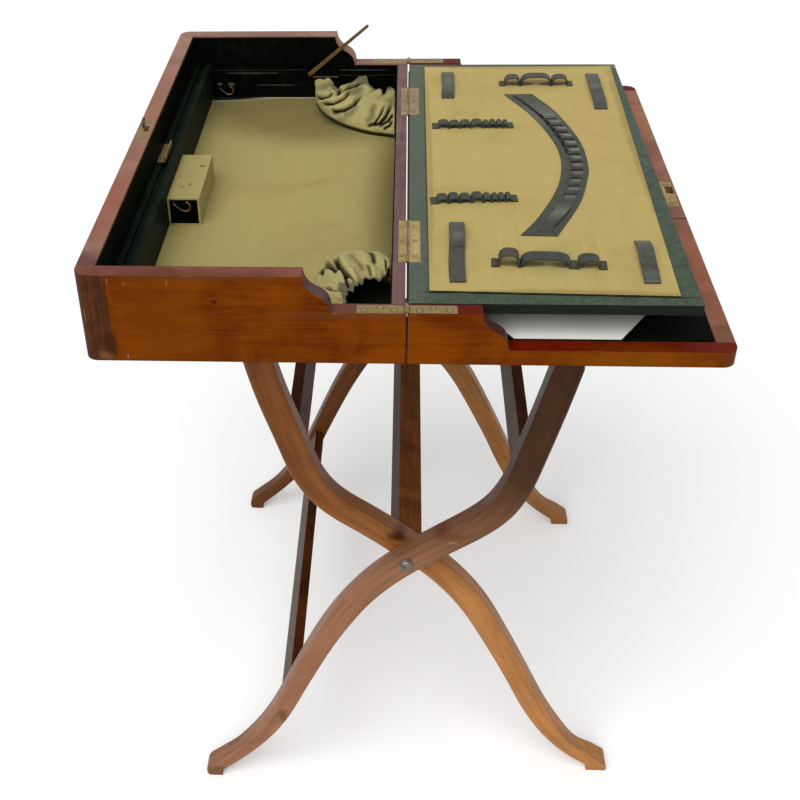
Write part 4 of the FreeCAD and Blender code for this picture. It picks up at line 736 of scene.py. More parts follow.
def make_cloths():
    """Cloths of the flap, the well's bottom and the small box."""
    colours = bpy.context.scene.desk_colours
    low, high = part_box("flap_panel")
    rows = [(0.13, low.y - 0.004, 0.16, 0.016, colours.stain, 0.55, 0.3),
            (high.x, 0.02, 0.014, 0.32, colours.stain, 0.50, 0.3),
            (0.14, high.y, 0.14, 0.012, colours.stain, 0.40, 0.3),
            (low.x, 0.0, 0.008, 0.30, colours.stain, 0.40, 0.3),
            (0.138, -0.218, 0.040, 0.050, (0.330, 0.340, 0.140), 0.45, 0.2, 0.9),
            (0.205, 0.10, 0.045, 0.14, (0.500, 0.350, 0.130), 0.45, 0.3, 0.9),
            (0.210, 0.235, 0.030, 0.035, (0.430, 0.380, 0.110), 0.45, 0.3, 0.9)]
    rows += [(x, -0.20, wide, 0.09, tone, 0.45, 0.10, 0.9) for x, wide, tone in (
        (0.105, 0.003, (0.40, 0.32, 0.11)), (0.166, 0.002, (0.54, 0.43, 0.18)),
        (0.181, 0.003, (0.54, 0.42, 0.16)), (0.062, 0.004, (0.40, 0.34, 0.12)),
        (0.196, 0.002, (0.42, 0.33, 0.11)), (0.088, 0.002, (0.52, 0.42, 0.17)))]
    # Painted shade in the hollows under the rows of loops, two to a row.
    for x, y, turn, span, darkness in LOOP_ROWS.values():
        slope = math.tan(math.radians(turn))
        rows += [(x + span * part, y + span * part * slope + 0.0078, span * 0.27, 0.0068,
                  (0.020, 0.022, 0.012), darkness, 0.05, 0.35) for part in (0.25, 0.75)]
    # sides is a painted shade on the panel's upright edges, for the shadow line at its edge.
    cloth("Panel cloth", colours.panel, 0.30, marks=marks_on(2, PANEL_TOP, 0.01, *rows),
          sides=(0.014, 0.011, 0.005), fray=0.35)
    _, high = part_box("well_floor_cloth")
    black = (0.004, 0.004, 0.002)
    # Painted shade towards the back and beside the rail, black painted shade inside the two pockets, a pale
    # frayed back edge, and black at the back left corner.
    floor_marks = marks_on(
        2, WELL_FLOOR, 0.01,
        (-0.11, high.y + 0.010, 0.20, 0.19, colours.shadow, 0.75, 0.1),
        (high.x + 0.004, 0.0, 0.052, 0.40, colours.shadow, 0.95, 0.1, 0.95),
        (-0.045, 0.245, 0.080, 0.070, black, 0.95, 0.1),
        (-0.038, -0.255, 0.050, 0.090, black, 1.0, 0.05, 0.12),
        (-0.17, high.y + 0.0015, 0.12, 0.0060, colours.frayed, 0.8, 0.3),
        (-0.250, high.y + 0.004, 0.085, 0.022, colours.frayed, 0.8, 0.15),
        (-0.250, high.y + 0.004, 0.080, 0.019, black, 1.0, 0.12))
    cloth("Floor cloth", colours.floor, 0.40, marks=floor_marks)
    low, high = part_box("small_case")
    box_marks = marks_on(2, high.z, 0.004, (high.x + 0.002, low.y + 0.03, 0.004, 0.05,
                                            colours.frayed, 0.5, 0.5))
    box_marks += marks_on(2, low.z, 0.014, (low.x, 0.0, 0.01, 0.10, colours.shadow, 0.7, 0.3))
    box_marks += marks_on(2, high.z, 0.004, *[
        (x, y, wide, deep, (0.05, 0.040, 0.016), 0.85, 0.7) for x, y, wide, deep in (
            (-0.226, 0.016, 0.0035, 0.0020), (-0.233, -0.030, 0.0016, 0.0025),
            (-0.241, -0.036, 0.0030, 0.0012), (-0.246, -0.010, 0.0012, 0.0020))])
    cloth("Box cloth", colours.floor, 0.50, threads=520.0, marks=box_marks)


def make_metals():
    """Brass, iron, steel and wire."""
    colours = bpy.context.scene.desk_colours
    low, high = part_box("butt_leaves_flap")
    back = high.y - BUTT_LENGTH / 2
    front = low.y + BUTT_LENGTH / 2
    butts = [((0.002, back, HINGE_LEVEL), (0.020, 0.055, 0.01), (0.200, 0.145, 0.080), 0.60, 0.3, 0.6),
             ((0.0075, front, HINGE_LEVEL), (0.006, 0.055, 0.01), (0.550, 0.400, 0.140), 0.50, 0.6, 0.8)]
    butts += marks_on(2, HINGE_LEVEL + 0.001, 0.01, *[
        (0.0, y, 0.0009, 0.055, (0.060, 0.040, 0.018), 0.70, 0.2) for y in (back, front)])
    metal("Aged brass", colours.brass, colours.tarnish, 0.50, marks=butts)
    metal("Screw seat", (0.060, 0.045, 0.022), (0.020, 0.015, 0.008), 0.50, 0.3)
    metal("Dull brass", shaded(colours.brass, 0.62), colours.tarnish, 0.55, 0.7)
    metal("Dark brass", shaded(colours.brass, 0.35), (0.055, 0.038, 0.018), 0.60, 0.6)
    metal("Brown brass", (0.250, 0.150, 0.048), (0.100, 0.052, 0.016), 0.50, 0.6)
    metal("Rusty iron", colours.iron, (0.045, 0.020, 0.012), 0.55, 0.35)
    metal("Dark steel", colours.steel, (0.060, 0.052, 0.040), 0.45, 0.9)
    # Pale wire: a painted highlight, standing for the lit part of the brass hooks.
    metal("Pale wire", (0.130, 0.130, 0.105), (0.050, 0.046, 0.034), 0.50, 0.6)


NODE_FINISHES = {
    "Corner timber": ("well_front_board",),
    "Front timber": ("well_back_board",),
    "Tray timber": ("tray_front_board", "tray_back_board"),
    "End timber": ("well_end_board",),
    "Tray end timber": ("tray_end_board",),
    "Rail timber": ("hinge_rail", "tray_inner_board"),
    "Bottom timber": ("well_bottom", "tray_bottom", "well_bearer", "tray_bearer"),
    "Outer front leg timber": ("outer_leg_front",),
    "Inner front leg timber": ("inner_leg_front",),
    "Outer back leg timber": ("outer_leg_back",),
    "Inner back leg timber": ("inner_leg_back",),
    "Bar timber": ("outer_upper_bar", "outer_lower_bar", "inner_upper_bar"),
    "Centre bar timber": ("centre_bar",),
    "Lining leather": ("side_linings", "end_lining", "rail_lining", "small_case_front"),
    "Ledge leather": ("pen_ledge",),
    "Flap leather": ("flap_board",),
    "Blotter leather": ("blotter_board", "blotter_corners"),
    "Panel cloth": ("flap_panel",),
    "Floor cloth": ("well_floor_cloth",),
    "Box cloth": ("small_case",),
    "Aged brass": ("butt_leaves_flap", "butt_leaves_rail", "butt_pins", "ledge_catch", "strike_plate"),
    "Dull brass": ("strap_leaves_well", "strap_leaves_tray", "strap_pins", "lock_plate"),
    "Dark brass": ("stay_pin", "stay_bracket"),
    "Brown brass": ("stay_arm",),
    "Dark steel": ("pivot_bolts", "pivot_washers"),
    "Blotting paper": ("blotter_paper",),
}


# ---------------------------------------------------------------- mesh building
def smooth_path(points, count):
    """Evenly spread points on a smooth curve through the given ones."""
    points = [Vector(point) for point in points]
    ends = [points[0] * 2 - points[1]] + points + [points[-1] * 2 - points[-2]]
    dense = []
    for before, start, stop, after in zip(ends, ends[1:], ends[2:], ends[3:]):
        for step in range(24):
            part = step / 24
            dense.append(0.5 * (2 * start + (stop - before) * part
                                + (2 * before - 5 * start + 4 * stop - after) * part ** 2
                                + (3 * start - before - 3 * stop + after) * part ** 3))
    dense.append(points[-1])
    travelled = [0.0]
    for start, stop in zip(dense, dense[1:]):
        travelled.append(travelled[-1] + (stop - start).length)
    spread = []
    index = 0
    for number in range(count):
        target = travelled[-1] * number / (count - 1)
        while index < len(dense) - 2 and travelled[index + 1] < target:
            index += 1
        span = travelled[index + 1] - travelled[index]
        spread.append(dense[index].lerp(dense[index + 1], (target - travelled[index]) / span))
    return spread


def skin(mesh, rings, closed=True):
    """Faces between neighbouring rings of vertices; closed rings join up and get caps at both ends."""
    count = len(rings[0])
    for first, second in zip(rings, rings[1:]):
        for side in range(count if closed else count - 1):
            other = (side + 1) % count
            mesh.faces.new((first[side], first[other], second[other], second[side]))
    if closed:
        mesh.faces.new(rings[0][::-1])
        mesh.faces.new(rings[-1])


def add_tape(mesh, path, across, thick):
    """Closed flat band along a path; across points from its middle to one side."""
    rings = []
    upward = math.copysign(thick, (path[-1] - path[0]).cross(across).z)
    for number, point in enumerate(path):
        forward = path[min(number + 1, len(path) - 1)] - path[max(number - 1, 0)]
        up = forward.cross(across).normalized() * upward
        corners = (point - across, point + across, point + across + up, point - across + up)
        rings.append([mesh.verts.new(corner) for corner in corners])
    skin(mesh, rings)


def add_tube(mesh, path, radius, sides=8):
    """Closed round tube along a path."""
    aside = Vector((0.3, 0.2, 1.0))
    angles = [2 * math.pi * side / sides for side in range(sides)]
    rings = []
    for number, point in enumerate(path):
        forward = (path[min(number + 1, len(path) - 1)] - path[max(number - 1, 0)]).normalized()
        first = forward.cross(aside).normalized()
        second = forward.cross(first)
        aside = first.cross(forward)
        rings.append([mesh.verts.new(point + (first * math.cos(angle) + second * math.sin(angle)) * radius)
                      for angle in angles])
    skin(mesh, rings)


def add_block(mesh, low, high):
    """Rectangular block between two corners."""
    middle = (Vector(low) + Vector(high)) / 2
    span = Vector(high) - Vector(low)
    for vert in bmesh.ops.create_cube(mesh, size=1.0)["verts"]:
        vert.co = middle + vert.co * span


def new_object(name, data):
    """Object in the scene."""
    made = bpy.data.objects.new(name, data)
    bpy.context.scene.collection.objects.link(made)
    return made


def mesh_object(name, mesh):
    """Object from a bmesh, which is freed."""
    data = bpy.data.meshes.new(name)
    mesh.to_mesh(data)
    mesh.free()
    return new_object(name, data)


def modify(piece, name, kind, **settings):
    """Modifier on a piece with its settings."""
    made = piece.modifiers.new(name, kind)
    for setting, value in settings.items():
        setattr(made, setting, value)


def finish_piece(name, mesh, material, body, nodes=(), bevel=0.0, levels=0, thick=0.0):
    """Piece from a bmesh that rides on a body and may stand for CAD nodes."""
    bmesh.ops.recalc_face_normals(mesh, faces=mesh.faces)
    piece = mesh_object(name, mesh)
    piece.data.materials.append(bpy.data.materials[material])
    for face in piece.data.polygons:
        face.use_smooth = levels > 0 or bevel > 0
    if thick:
        modify(piece, "Thickness", "SOLIDIFY", thickness=thick, offset=0.0)
    if bevel:
        modify(piece, "Rounded edges", "BEVEL", width=bevel, segments=2, limit_method="ANGLE",
               angle_limit=math.radians(40), harden_normals=True)
    if levels:
        modify(piece, "Smooth", "SUBSURF", levels=levels, render_levels=levels)
    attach(piece, body)
    if nodes:
        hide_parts(*nodes)
    return piece


def wander(*place):
    """Smooth noise at a place."""
    return noise.noise(Vector(place))


def limited(*values):
    """Smallest of the values, kept between 0 and 1."""
    return max(0.0, min(1.0, *values))


# ---------------------------------------------------------------- operators
class DressFrame(bpy.types.Operator):
    """Give every kept construction piece its timber, leather, cloth or metal"""
    bl_idname = "desk.dress_frame"
    bl_label = "Dress the frame"

    def execute(self, context):
        for build, inputs in EFFECTS:
            make_effect(build, inputs)
        for make in (make_box_timbers, make_stand_timbers, make_leathers, make_cloths, silk,
                     blotting_paper, make_metals):
            make()
        for finish, nodes in NODE_FINISHES.items():
            for node in nodes:
                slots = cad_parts[node].data.materials
                slots.clear()
                slots.append(bpy.data.materials[finish])
        return {"FINISHED"}


def nearest_on(path, x, y):
    """Distance in plan from a place to a line of places, and the share of the line at its nearest point."""
    place = Vector((x, y))
    nearest = (1.0, 0.0)
    count = len(path) - 1
    for number in range(count):
        start = Vector(path[number])
        along = Vector(path[number + 1]) - start
        share = limited((place - start).dot(along) / along.length_squared)
        gap = (start + along * share - place).length
        if gap < nearest[0]:
            nearest = (gap, (number + share) / count)
    return nearest


class BuildSilkPockets(bpy.types.Operator):
    """Gathered silk pockets in the two corners beside the hinge rail"""
    bl_idname = "desk.build_silk_pockets"
    bl_label = "Silk pockets"

    SPREAD = Vector((0.150, 0.070))
    COLUMNS = 190
    ROWS = 64
    # Folds as (line, depth, width); a line's places are shares along the pocket and up from its seam.
    BACK_FOLDS = (
        (((0.185, 0.119), (0.294, 0.271), (0.345, 0.373), (0.353, 0.508)), 0.0070, 0.0026),
        (((0.311, 0.120), (0.437, 0.254), (0.496, 0.441), (0.504, 0.610)), 0.0065, 0.0022),
        (((0.440, 0.080), (0.496, 0.120), (0.571, 0.237), (0.630, 0.441), (0.630, 0.746)), 0.0075, 0.0024),
        (((0.830, 0.090), (0.891, 0.142), (0.924, 0.257), (0.975, 0.627)), 0.0060, 0.0018),
        (((0.880, 0.080), (0.950, 0.209), (0.992, 0.407)), 0.0060, 0.0018),
        (((0.790, 0.060), (0.850, 0.120), (0.890, 0.330), (0.905, 0.520)), 0.0045, 0.0016),
        (((0.915, 0.050), (0.965, 0.130), (0.985, 0.250)), 0.0050, 0.0014),
        (((0.250, 0.420), (0.300, 0.520), (0.330, 0.700)), 0.0040, 0.0018),
        (((0.580, 0.120), (0.639, 0.220), (0.681, 0.475)), 0.0014, 0.0045),
        (((0.134, 1.000), (0.300, 0.700), (0.387, 0.576), (0.429, 0.424)), 0.0060, 0.0030),
        (((0.429, 0.475), (0.479, 0.678), (0.521, 0.949)), 0.0045, 0.0020),
        (((0.782, 0.120), (0.824, 0.254), (0.773, 0.712)), 0.0016, 0.0050))
    FRONT_FOLDS = (
        (((0.630, 0.300), (0.597, 0.475), (0.571, 0.763), (0.605, 0.932)), 0.0095, 0.0026),
        (((0.588, 0.288), (0.575, 0.508), (0.545, 0.780), (0.496, 0.966)), 0.0065, 0.0020),
        (((0.504, 0.271), (0.513, 0.390), (0.525, 0.576), (0.521, 0.678)), 0.0090, 0.0028),
        (((0.714, 0.356), (0.706, 0.525), (0.723, 0.729), (0.723, 0.898)), 0.0014, 0.0030),
        (((0.815, 0.353), (0.824, 0.525), (0.824, 0.752)), 0.0034, 0.0024),
        (((0.319, 0.559), (0.336, 0.746), (0.378, 0.881), (0.496, 0.966)), 0.0090, 0.0024),
        (((0.445, 0.231), (0.487, 0.271), (0.429, 0.475)), 0.0065, 0.0034),
        (((0.935, 0.600), (0.941, 0.695), (0.950, 0.949)), 0.0050, 0.0018),
        (((0.775, 0.700), (0.770, 0.949)), 0.0024, 0.0020))
    # Seams on the floor, and gathered hems with their height over it.
    BACK_SEAM = ((-0.1165, 0.2890), (-0.1155, 0.262), (-0.1010, 0.224), (-0.0770, 0.194),
                 (-0.0480, 0.174), (-0.0160, 0.163))
    BACK_HEM = ((-0.1080, 0.2880, 0.0250), (-0.0960, 0.2760, 0.0275), (-0.0860, 0.2500, 0.0240),
                (-0.0710, 0.2690, 0.0280), (-0.0540, 0.2880, 0.0310), (-0.0490, 0.2620, 0.0270),
                (-0.0360, 0.2500, 0.0275), (-0.0290, 0.2360, 0.0260), (-0.0220, 0.2620, 0.0280),
                (-0.0165, 0.2450, 0.0260))
    FRONT_SEAM = ((-0.0860, -0.2890), (-0.0900, -0.245), (-0.0880, -0.198), (-0.0740, -0.158),
                  (-0.0480, -0.143), (-0.0270, -0.150), (-0.0165, -0.173))
    FRONT_HEM = ((-0.0600, -0.2880, 0.0240), (-0.0560, -0.2620, 0.0260), (-0.0540, -0.2420, 0.0250),
                 (-0.0460, -0.2290, 0.0250), (-0.0385, -0.2200, 0.0270), (-0.0300, -0.2180, 0.0240),
                 (-0.0225, -0.2100, 0.0250), (-0.0165, -0.2010, 0.0270))

    def smooth(self, low, top, crown, share):
        """Place on the puffed sheet at a share of the way from its seam to its hem, and its way out."""
        outward = low - top
        outward.z = 0
        outward.normalize()
        swell = math.sin(math.pi * min(1.0, share * 1.15)) ** 0.8
        point = low.lerp(top, share ** 1.25)
        point += outward * crown * 0.35 * math.sin(math.pi * share) ** 1.2 * (1 - share)
        point.z = low.z + (top.z - low.z) * math.sin(share * math.pi / 2) ** 0.5
        point.z += (crown - (top.z - low.z)) * swell * 0.75
        return point, outward

    def folded(self, along, share, folds):
        """Lift over the smooth sheet, and painted shade and painted highlight of the folds at a place on the
        sheet.
        """
        lift = 0.0
        dark = 0.0
        light = 0.0
        for path, depth, width in folds:
            line = [(self.SPREAD.x * first, self.SPREAD.y * second) for first, second in path]
            gap, part = nearest_on(line, self.SPREAD.x * along, self.SPREAD.y * share)
            if gap > width * 7:
                continue
            taper = limited(part / 0.15 + 0.10, (1 - part) / 0.20 + 0.05)
            lift -= depth * taper * math.exp(-abs(gap / width))
            crest = depth * taper * math.exp(-((gap - 2.6 * width) / (1.6 * width)) ** 2)
            lift += 0.35 * crest
            light = max(light, crest / 0.009)
            dark = max(dark, taper * min(1.0, depth / 0.004) * math.exp(-(gap / (1.1 * width)) ** 2))
        return lift, dark, light * (1 - dark)

    def pocket(self, name, node, seam, hem, crown, folds, seed, worn):
        """Sheet from a seam on the floor over a puffed crown to a gathered hem, most frayed at worn."""
        seam_path = smooth_path([(x, y, WELL_FLOOR) for x, y in seam], self.COLUMNS)
        hem_path = smooth_path([(x, y, WELL_FLOOR + rise) for x, y, rise in hem], self.COLUMNS)
        mesh = bmesh.new()
        crease, edge, crest = [mesh.verts.layers.float.new(layer) for layer in ("crease", "hem", "crest")]
        grid = []
        for row in range(self.ROWS):
            share = row / (self.ROWS - 1)
            lean = min(1.0, share * 1.6) * math.pi / 2
            gathers = max(0.0, (share - 0.62) / 0.38) ** 1.6
            line = []
            for column in range(self.COLUMNS):
                along = column / (self.COLUMNS - 1)
                point, outward = self.smooth(seam_path[column], hem_path[column], crown, share)
                lift, dark, light = self.folded(along, share, folds)
                drift = wander(along * 3.0 + seed, share * 1.6, seed)
                ruffle = math.sin(along * 44 + 5.0 * drift + seed)
                small = math.sin(along * 95 + 9.0 * drift)
                height = lift * min(1.0, share * 8.0) + (0.0020 * ruffle + 0.0010 * small) * gathers
                height += 0.0022 * wander(point.x * 55, point.y * 55, seed)
                height += 0.0008 * wander(point.x * 190, point.y * 190, seed)
                facing = outward * math.cos(lean) + Vector((0, 0, 1)) * math.sin(lean)
                fade = limited(row / 4) * limited(column / 2 + 0.3, (self.COLUMNS - 1 - column) / 2 + 0.3)
                point += facing * height * fade
                point += outward * 0.0010 * small * gathers * fade
                point.z = max(point.z, WELL_FLOOR + 0.0004)
                vert = mesh.verts.new(point)
                # crease keeps painted shade in fold and gather valleys and the shadow line at the seam;
                # crest keeps painted highlights.
                vert[crease] = min(1.0, dark + 0.6 * gathers * max(0.0, -ruffle) ** 2
                                   + 1.5 * max(0.0, 1 - share / 0.030))
                frayed = 0.90 - 0.16 * math.exp(-((along - worn) / 0.09) ** 2)
                vert[edge] = max(0.0, (share - frayed) / 0.10)
                vert[crest] = light + 0.5 * gathers * max(0.0, ruffle) ** 2
                line.append(vert)
            grid.append(line)
        skin(mesh, grid, closed=False)
        piece = finish_piece(name, mesh, "Silk", "well", (node,), levels=1,
                             thick=bpy.context.scene.desk_sizes.silk_thick)

    def execute(self, context):
        self.pocket("silk_pocket_back", "back_corner_pocket", self.BACK_SEAM, self.BACK_HEM, 0.030,
                    self.BACK_FOLDS, 1.7, 0.45)
        self.pocket("silk_pocket_front", "front_corner_pocket", self.FRONT_SEAM, self.FRONT_HEM, 0.031,
                    self.FRONT_FOLDS, 4.2, 0.42)
        return {"FINISHED"}


def arch_points(start, width, height, steps=14, boxy=0.62):
    """Distances along and heights of one loop from foot to foot."""
    points = []
    for number in range(steps + 1):
        angle = math.pi * number / steps
        across = math.cos(angle)
        reach = math.copysign(abs(across) ** boxy, across)
        points.append((start + width / 2 * (1 - reach), height * math.sin(angle) ** boxy))
    return points


class BuildLoops(bpy.types.Operator):
    """Rows of leather loops on the flap for pens and small tools"""
    bl_idname = "desk.build_loops"
    bl_label = "Loops"

    def row(self, node, loops, band):
        """One tape stitched down between its loops; loops are (distance along, width, height)."""
        sizes = bpy.context.scene.desk_sizes
        thick = sizes.web_thick
        x, y, degrees, *_ = LOOP_ROWS[node]
        turn = math.radians(degrees)
        outline = [(-sizes.tab, 0.0), (-sizes.tab * 0.5, 0.0)]
        for number, (left, width, height) in enumerate(loops):
            lean = 0.10 * width * wander(number * 3.7, band * 400, left * 90)
            arch = arch_points(left + thick, width - 2 * thick, height - thick)
            outline += [(along + lean * rise / height, rise) for along, rise in arch]
        last = loops[-1][0] + loops[-1][1]
        outline += [(last + sizes.tab * 0.5, 0.0), (last + sizes.tab, 0.0)]
        along_row = Vector((math.cos(turn), math.sin(turn), 0))
        across_row = Vector((-along_row.y, along_row.x, 0))
        start = Vector((x, y, PANEL_TOP + LEATHER_GAP)) + across_row * band / 2
        path = []
        for along, rise in outline:
            sway = 0.0006 * wander(along * 90, rise * 60, y * 9)
            path.append(start + along_row * along + across_row * sway + Vector((0, 0, rise)))
        mesh = bmesh.new()
        add_tape(mesh, path, across_row * band / 2, thick)
        finish_piece(node + "_leather", mesh, "Loop leather", "flap", (node,), bevel=0.0004)

    def execute(self, context):
        sizes = context.scene.desk_sizes
        rows = (("back_long_loops", (0.0130, 0.0120, 0.0125, 0.0135, 0.0070, 0.0080, 0.0070, 0.0065),
                 (0.0062, 0.0054, 0.0058, 0.0065, 0.0054, 0.0059, 0.0059, 0.0054)),
                ("front_long_loops", (0.0120, 0.0115, 0.0115, 0.0120, 0.0085, 0.0070, 0.0070, 0.0065),
                 (0.0056, 0.0066, 0.0055, 0.0066, 0.0050, 0.0048, 0.0049, 0.0051)))
        for node, widths, heights in rows:
            loops = []
            along = 0.0
            for width, height in zip(widths, heights):
                loops.append((along + 0.0002, width - 0.0004, height))
                along += width
            self.row(node, loops, sizes.row_band)
        self.row("back_triple_loops", ((0.0, 0.0188, 0.0103), (0.0192, 0.0366, 0.0118),
                                       (0.0562, 0.0198, 0.0104)), sizes.triple_band)
        self.row("front_triple_loops", ((0.0, 0.0195, 0.0130), (0.0202, 0.0458, 0.0101),
                                        (0.0726, 0.0204, 0.0093)), sizes.triple_band)
        return {"FINISHED"}


class BuildStraps(bpy.types.Operator):
    """Four single leather straps near the corners of the panel"""
    bl_idname = "desk.build_straps"
    bl_label = "Straps"

    # Both ends of each strap, and the share of its length that lies flat before it arches.
    STRAPS = ((0.0473, 0.1735, 0.0487, 0.2545, 0.05), (0.0453, -0.2575, 0.0482, -0.1440, 0.52),
              (0.2233, 0.1405, 0.2237, 0.2490, 0.05), (0.2181, -0.2570, 0.2206, -0.1800, 0.10))
    STEPS = 26

    def execute(self, context):
        sizes = context.scene.desk_sizes
        half = sizes.strap_band / 2
        straps = bmesh.new()
        stitches = bmesh.new()
        for number, (x, y, x_end, y_end, flat) in enumerate(self.STRAPS):
            path = []
            for step in range(self.STEPS + 1):
                share = step / self.STEPS
                inside = limited((share - flat) / (0.98 - flat))
                rise = 0.0006 + sizes.strap_rise * math.sin(math.pi * inside) ** 0.6
                rise *= 0.80 + 0.9 * wander(share * 2.6, number * 2.7, 0.4)
                sway = 0.0011 * wander(share * 2.2, number * 5.1, 7.7)
                path.append(Vector((x + (x_end - x) * share + sway, y + (y_end - y) * share,
                                    PANEL_TOP + LEATHER_GAP + max(0.0, rise))))
            add_tape(straps, path, Vector((half, 0, 0)), sizes.web_thick)
            level = PANEL_TOP + LEATHER_GAP + sizes.web_thick
            for end_x, end_y, inward in ((x, y, 1), (x_end, y_end, -1)):
                for near in (end_y + inward * 0.0012, end_y + inward * 0.0026):
                    for stitch in range(6):
                        left = end_x - half + 0.0010 + stitch * 0.0018
                        add_block(stitches, (left, near - 0.0002, level),
                                  (left + 0.0011, near + 0.0002, level + 0.00035))
        finish_piece("straps", straps, "Trim leather", "flap", ("flap_straps",),
                     bevel=0.0003)
        finish_piece("strap_stitches", stitches, "Seam leather", "flap")
        return {"FINISHED"}


class BuildCrescent(bpy.types.Operator):
    """Curved leather holder with a raised sleeve and a run of small loops"""
    bl_idname = "desk.build_crescent"
    bl_label = "Crescent holder"

    OUTER = ((0.147, 0.185), (0.165, 0.145), (0.177, 0.105), (0.189, 0.045), (0.190, -0.012),
             (0.185, -0.048), (0.171, -0.102), (0.143, -0.169))
    INNER = ((0.114, 0.185), (0.140, 0.125), (0.157, 0.063), (0.163, 0.013), (0.159, -0.036),
             (0.148, -0.080), (0.127, -0.133), (0.108, -0.168))
    LOOPS = 12
    STEPS = 300

    def surface(self, share, place):
        """Height over the panel, and painted shade and painted highlight of the holder at a place along and
        across it.
        """
        sizes = bpy.context.scene.desk_sizes
        inner_side = 0.26 + 0.05 * min(1.0, share / 0.2)
        sleeve = limited((place - inner_side) / 0.03, (0.82 - place) / 0.05)
        ends = limited((share - 0.012) / 0.01, (0.985 - share) / 0.01)
        in_loops = limited((share - 0.17) / 0.02, (0.80 - share) / 0.03)
        wave = abs(math.sin(math.pi * self.LOOPS * (share - 0.17) / 0.63))
        ridge = wave ** 0.7
        rise = sizes.holder_base + 0.0009 * sleeve * ends * (1 - in_loops)
        rise += sizes.holder_loop * 0.75 * sleeve * in_loops * ridge
        between = 0.9 * in_loops * sleeve * max(0.0, 1 - wave / 0.45) * (1.0 if share < 0.6 else 0.6)
        mouth = math.exp(-((place - inner_side + 0.030) / 0.048) ** 2) * min(1.0, 0.5 + share / 0.3)
        mouth *= limited(share / 0.02, (0.50 - share) / 0.06) * (1 - in_loops * (1 - min(1.0, ridge * 1.3)))
        slit_place = 0.83 - 0.10 * max(0.0, (share - 0.84) / 0.14)
        slit = math.exp(-((place - slit_place) / 0.025) ** 2)
        slit *= limited((share - 0.82) / 0.03, (0.975 - share) / 0.02)
        seam = 0.30 * math.exp(-((place - 0.90) / 0.012) ** 2) * ends
        # Painted shade between the loops, in their mouths and in the slit, with a dark seam line.
        dark = max(between, mouth, slit, seam)
        # Painted highlights on the loop ridges and on the smooth sleeve near the slit.
        shine = in_loops * max(0.0, (wave - 0.75) / 0.25) * limited((place - 0.40) / 0.1)
        shine *= 0.50 + 0.50 * math.exp(-((share - 0.40) / 0.14) ** 2)
        shine = max(shine, 0.5 * math.exp(-((share - 0.86) / 0.035) ** 2)) * sleeve
        return rise - 0.0005 * dark, dark, shine

    def execute(self, context):
        outer, inner = [smooth_path([(x, y, PANEL_TOP) for x, y in side], self.STEPS)
                        for side in (self.OUTER, self.INNER)]
        profile = [0.0, 0.02] + [0.04 + 0.92 * number / 34 for number in range(35)] + [0.98, 1.0]
        mesh = bmesh.new()
        # hollow keeps the painted shade and crest the painted highlights.
        hollow, crest = [mesh.verts.layers.float.new(layer) for layer in ("hollow", "crest")]
        rings = []
        for number, (left, right) in enumerate(zip(inner, outer)):
            ring = [mesh.verts.new(left)]
            for place in profile:
                rise, dark, shine = self.surface(number / (self.STEPS - 1), place)
                point = left.lerp(right, place)
                point.z += rise + 0.0003 * noise.noise(point * 90)
                vert = mesh.verts.new(point)
                vert[hollow] = dark
                vert[crest] = shine
                ring.append(vert)
            rings.append(ring + [mesh.verts.new(right)])
        skin(mesh, rings)
        finish_piece("crescent", mesh, "Holder leather", "flap", ("crescent_holder",),
                     bevel=0.0003)
        return {"FINISHED"}


class BuildScrews(bpy.types.Operator):
    """Slotted screw heads in the hinges and plates"""
    bl_idname = "desk.build_screws"
    bl_label = "Screws"

    def head(self, mesh, x, y, level, radius, seed):
        """Two raised half discs beside a slot."""
        turn = Matrix.Rotation(2.4 * seed, 4, "Z")
        proud = bpy.context.scene.desk_sizes.screw_proud
        start = math.asin(0.13)
        angles = [start + (math.pi - 2 * start) * step / 10 for step in range(11)]
        for side in (1, -1):
            low = []
            high = []
            for angle in angles:
                flat = Vector((math.cos(angle) * radius, side * math.sin(angle) * radius, 0))
                low.append(mesh.verts.new(turn @ flat + Vector((x, y, level - 0.0002))))
                high.append(mesh.verts.new(turn @ (flat * 0.94) + Vector((x, y, level + proud))))
            mesh.faces.new(high)
            for step in range(11):
                other = (step + 1) % 11
                mesh.faces.new((low[step], low[other], high[other], high[step]))

    def group(self, body, heads):
        """One piece with every head of a body, and one with their dark seats."""
        mesh = bmesh.new()
        seats = bmesh.new()
        for number, (x, y, level, radius) in enumerate(heads):
            self.head(mesh, x, y, level, radius, number + 1)
            for height in (-0.0003, 0.00006):
                bmesh.ops.create_circle(seats, cap_ends=True, segments=20, radius=radius * 1.30,
                                        matrix=Matrix.Translation((x, y, level + height)))
        finish_piece("screws_" + body, mesh, "Aged brass", body, (body + "_screws",))
        finish_piece("screw_seats_" + body, seats, "Screw seat", body)

    def strap_heads(self, side):
        """Three heads in each strap leaf of one half."""
        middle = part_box("strap_leaves_well")[1].y - 0.0065
        return [(side * (0.001 + along), end * middle + aside, HINGE_LEVEL, 0.0026)
                for end in (1, -1)
                for along, aside in ((0.010, -0.0015), (0.022, 0.0025), (0.036, -0.0015))]

    def execute(self, context):
        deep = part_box("lock_plate")[1].z
        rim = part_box("strike_plate")[1].z
        plate = 0.0012
        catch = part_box("ledge_catch")[0].z + plate
        low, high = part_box("butt_leaves_rail")
        rows = [start + along for start in (low.y, high.y - BUTT_LENGTH) for along in (0.012, 0.041, 0.070)]
        well = self.strap_heads(-1) + [(-0.2815, y, deep, 0.0026) for y in (-0.021, 0.022)]
        well += [(-0.26765, y, catch, 0.0022) for y in (0.004, 0.032)]
        well += [(-0.0050, y, HINGE_LEVEL, 0.0018) for y in rows]
        self.group("well", well)
        self.group("tray", self.strap_heads(1) + [(0.2815, y, rim, 0.0028) for y in (-0.022, 0.0235)])
        self.group("flap", [(0.0070, y, HINGE_LEVEL, 0.0018) for y in rows])
        return {"FINISHED"}


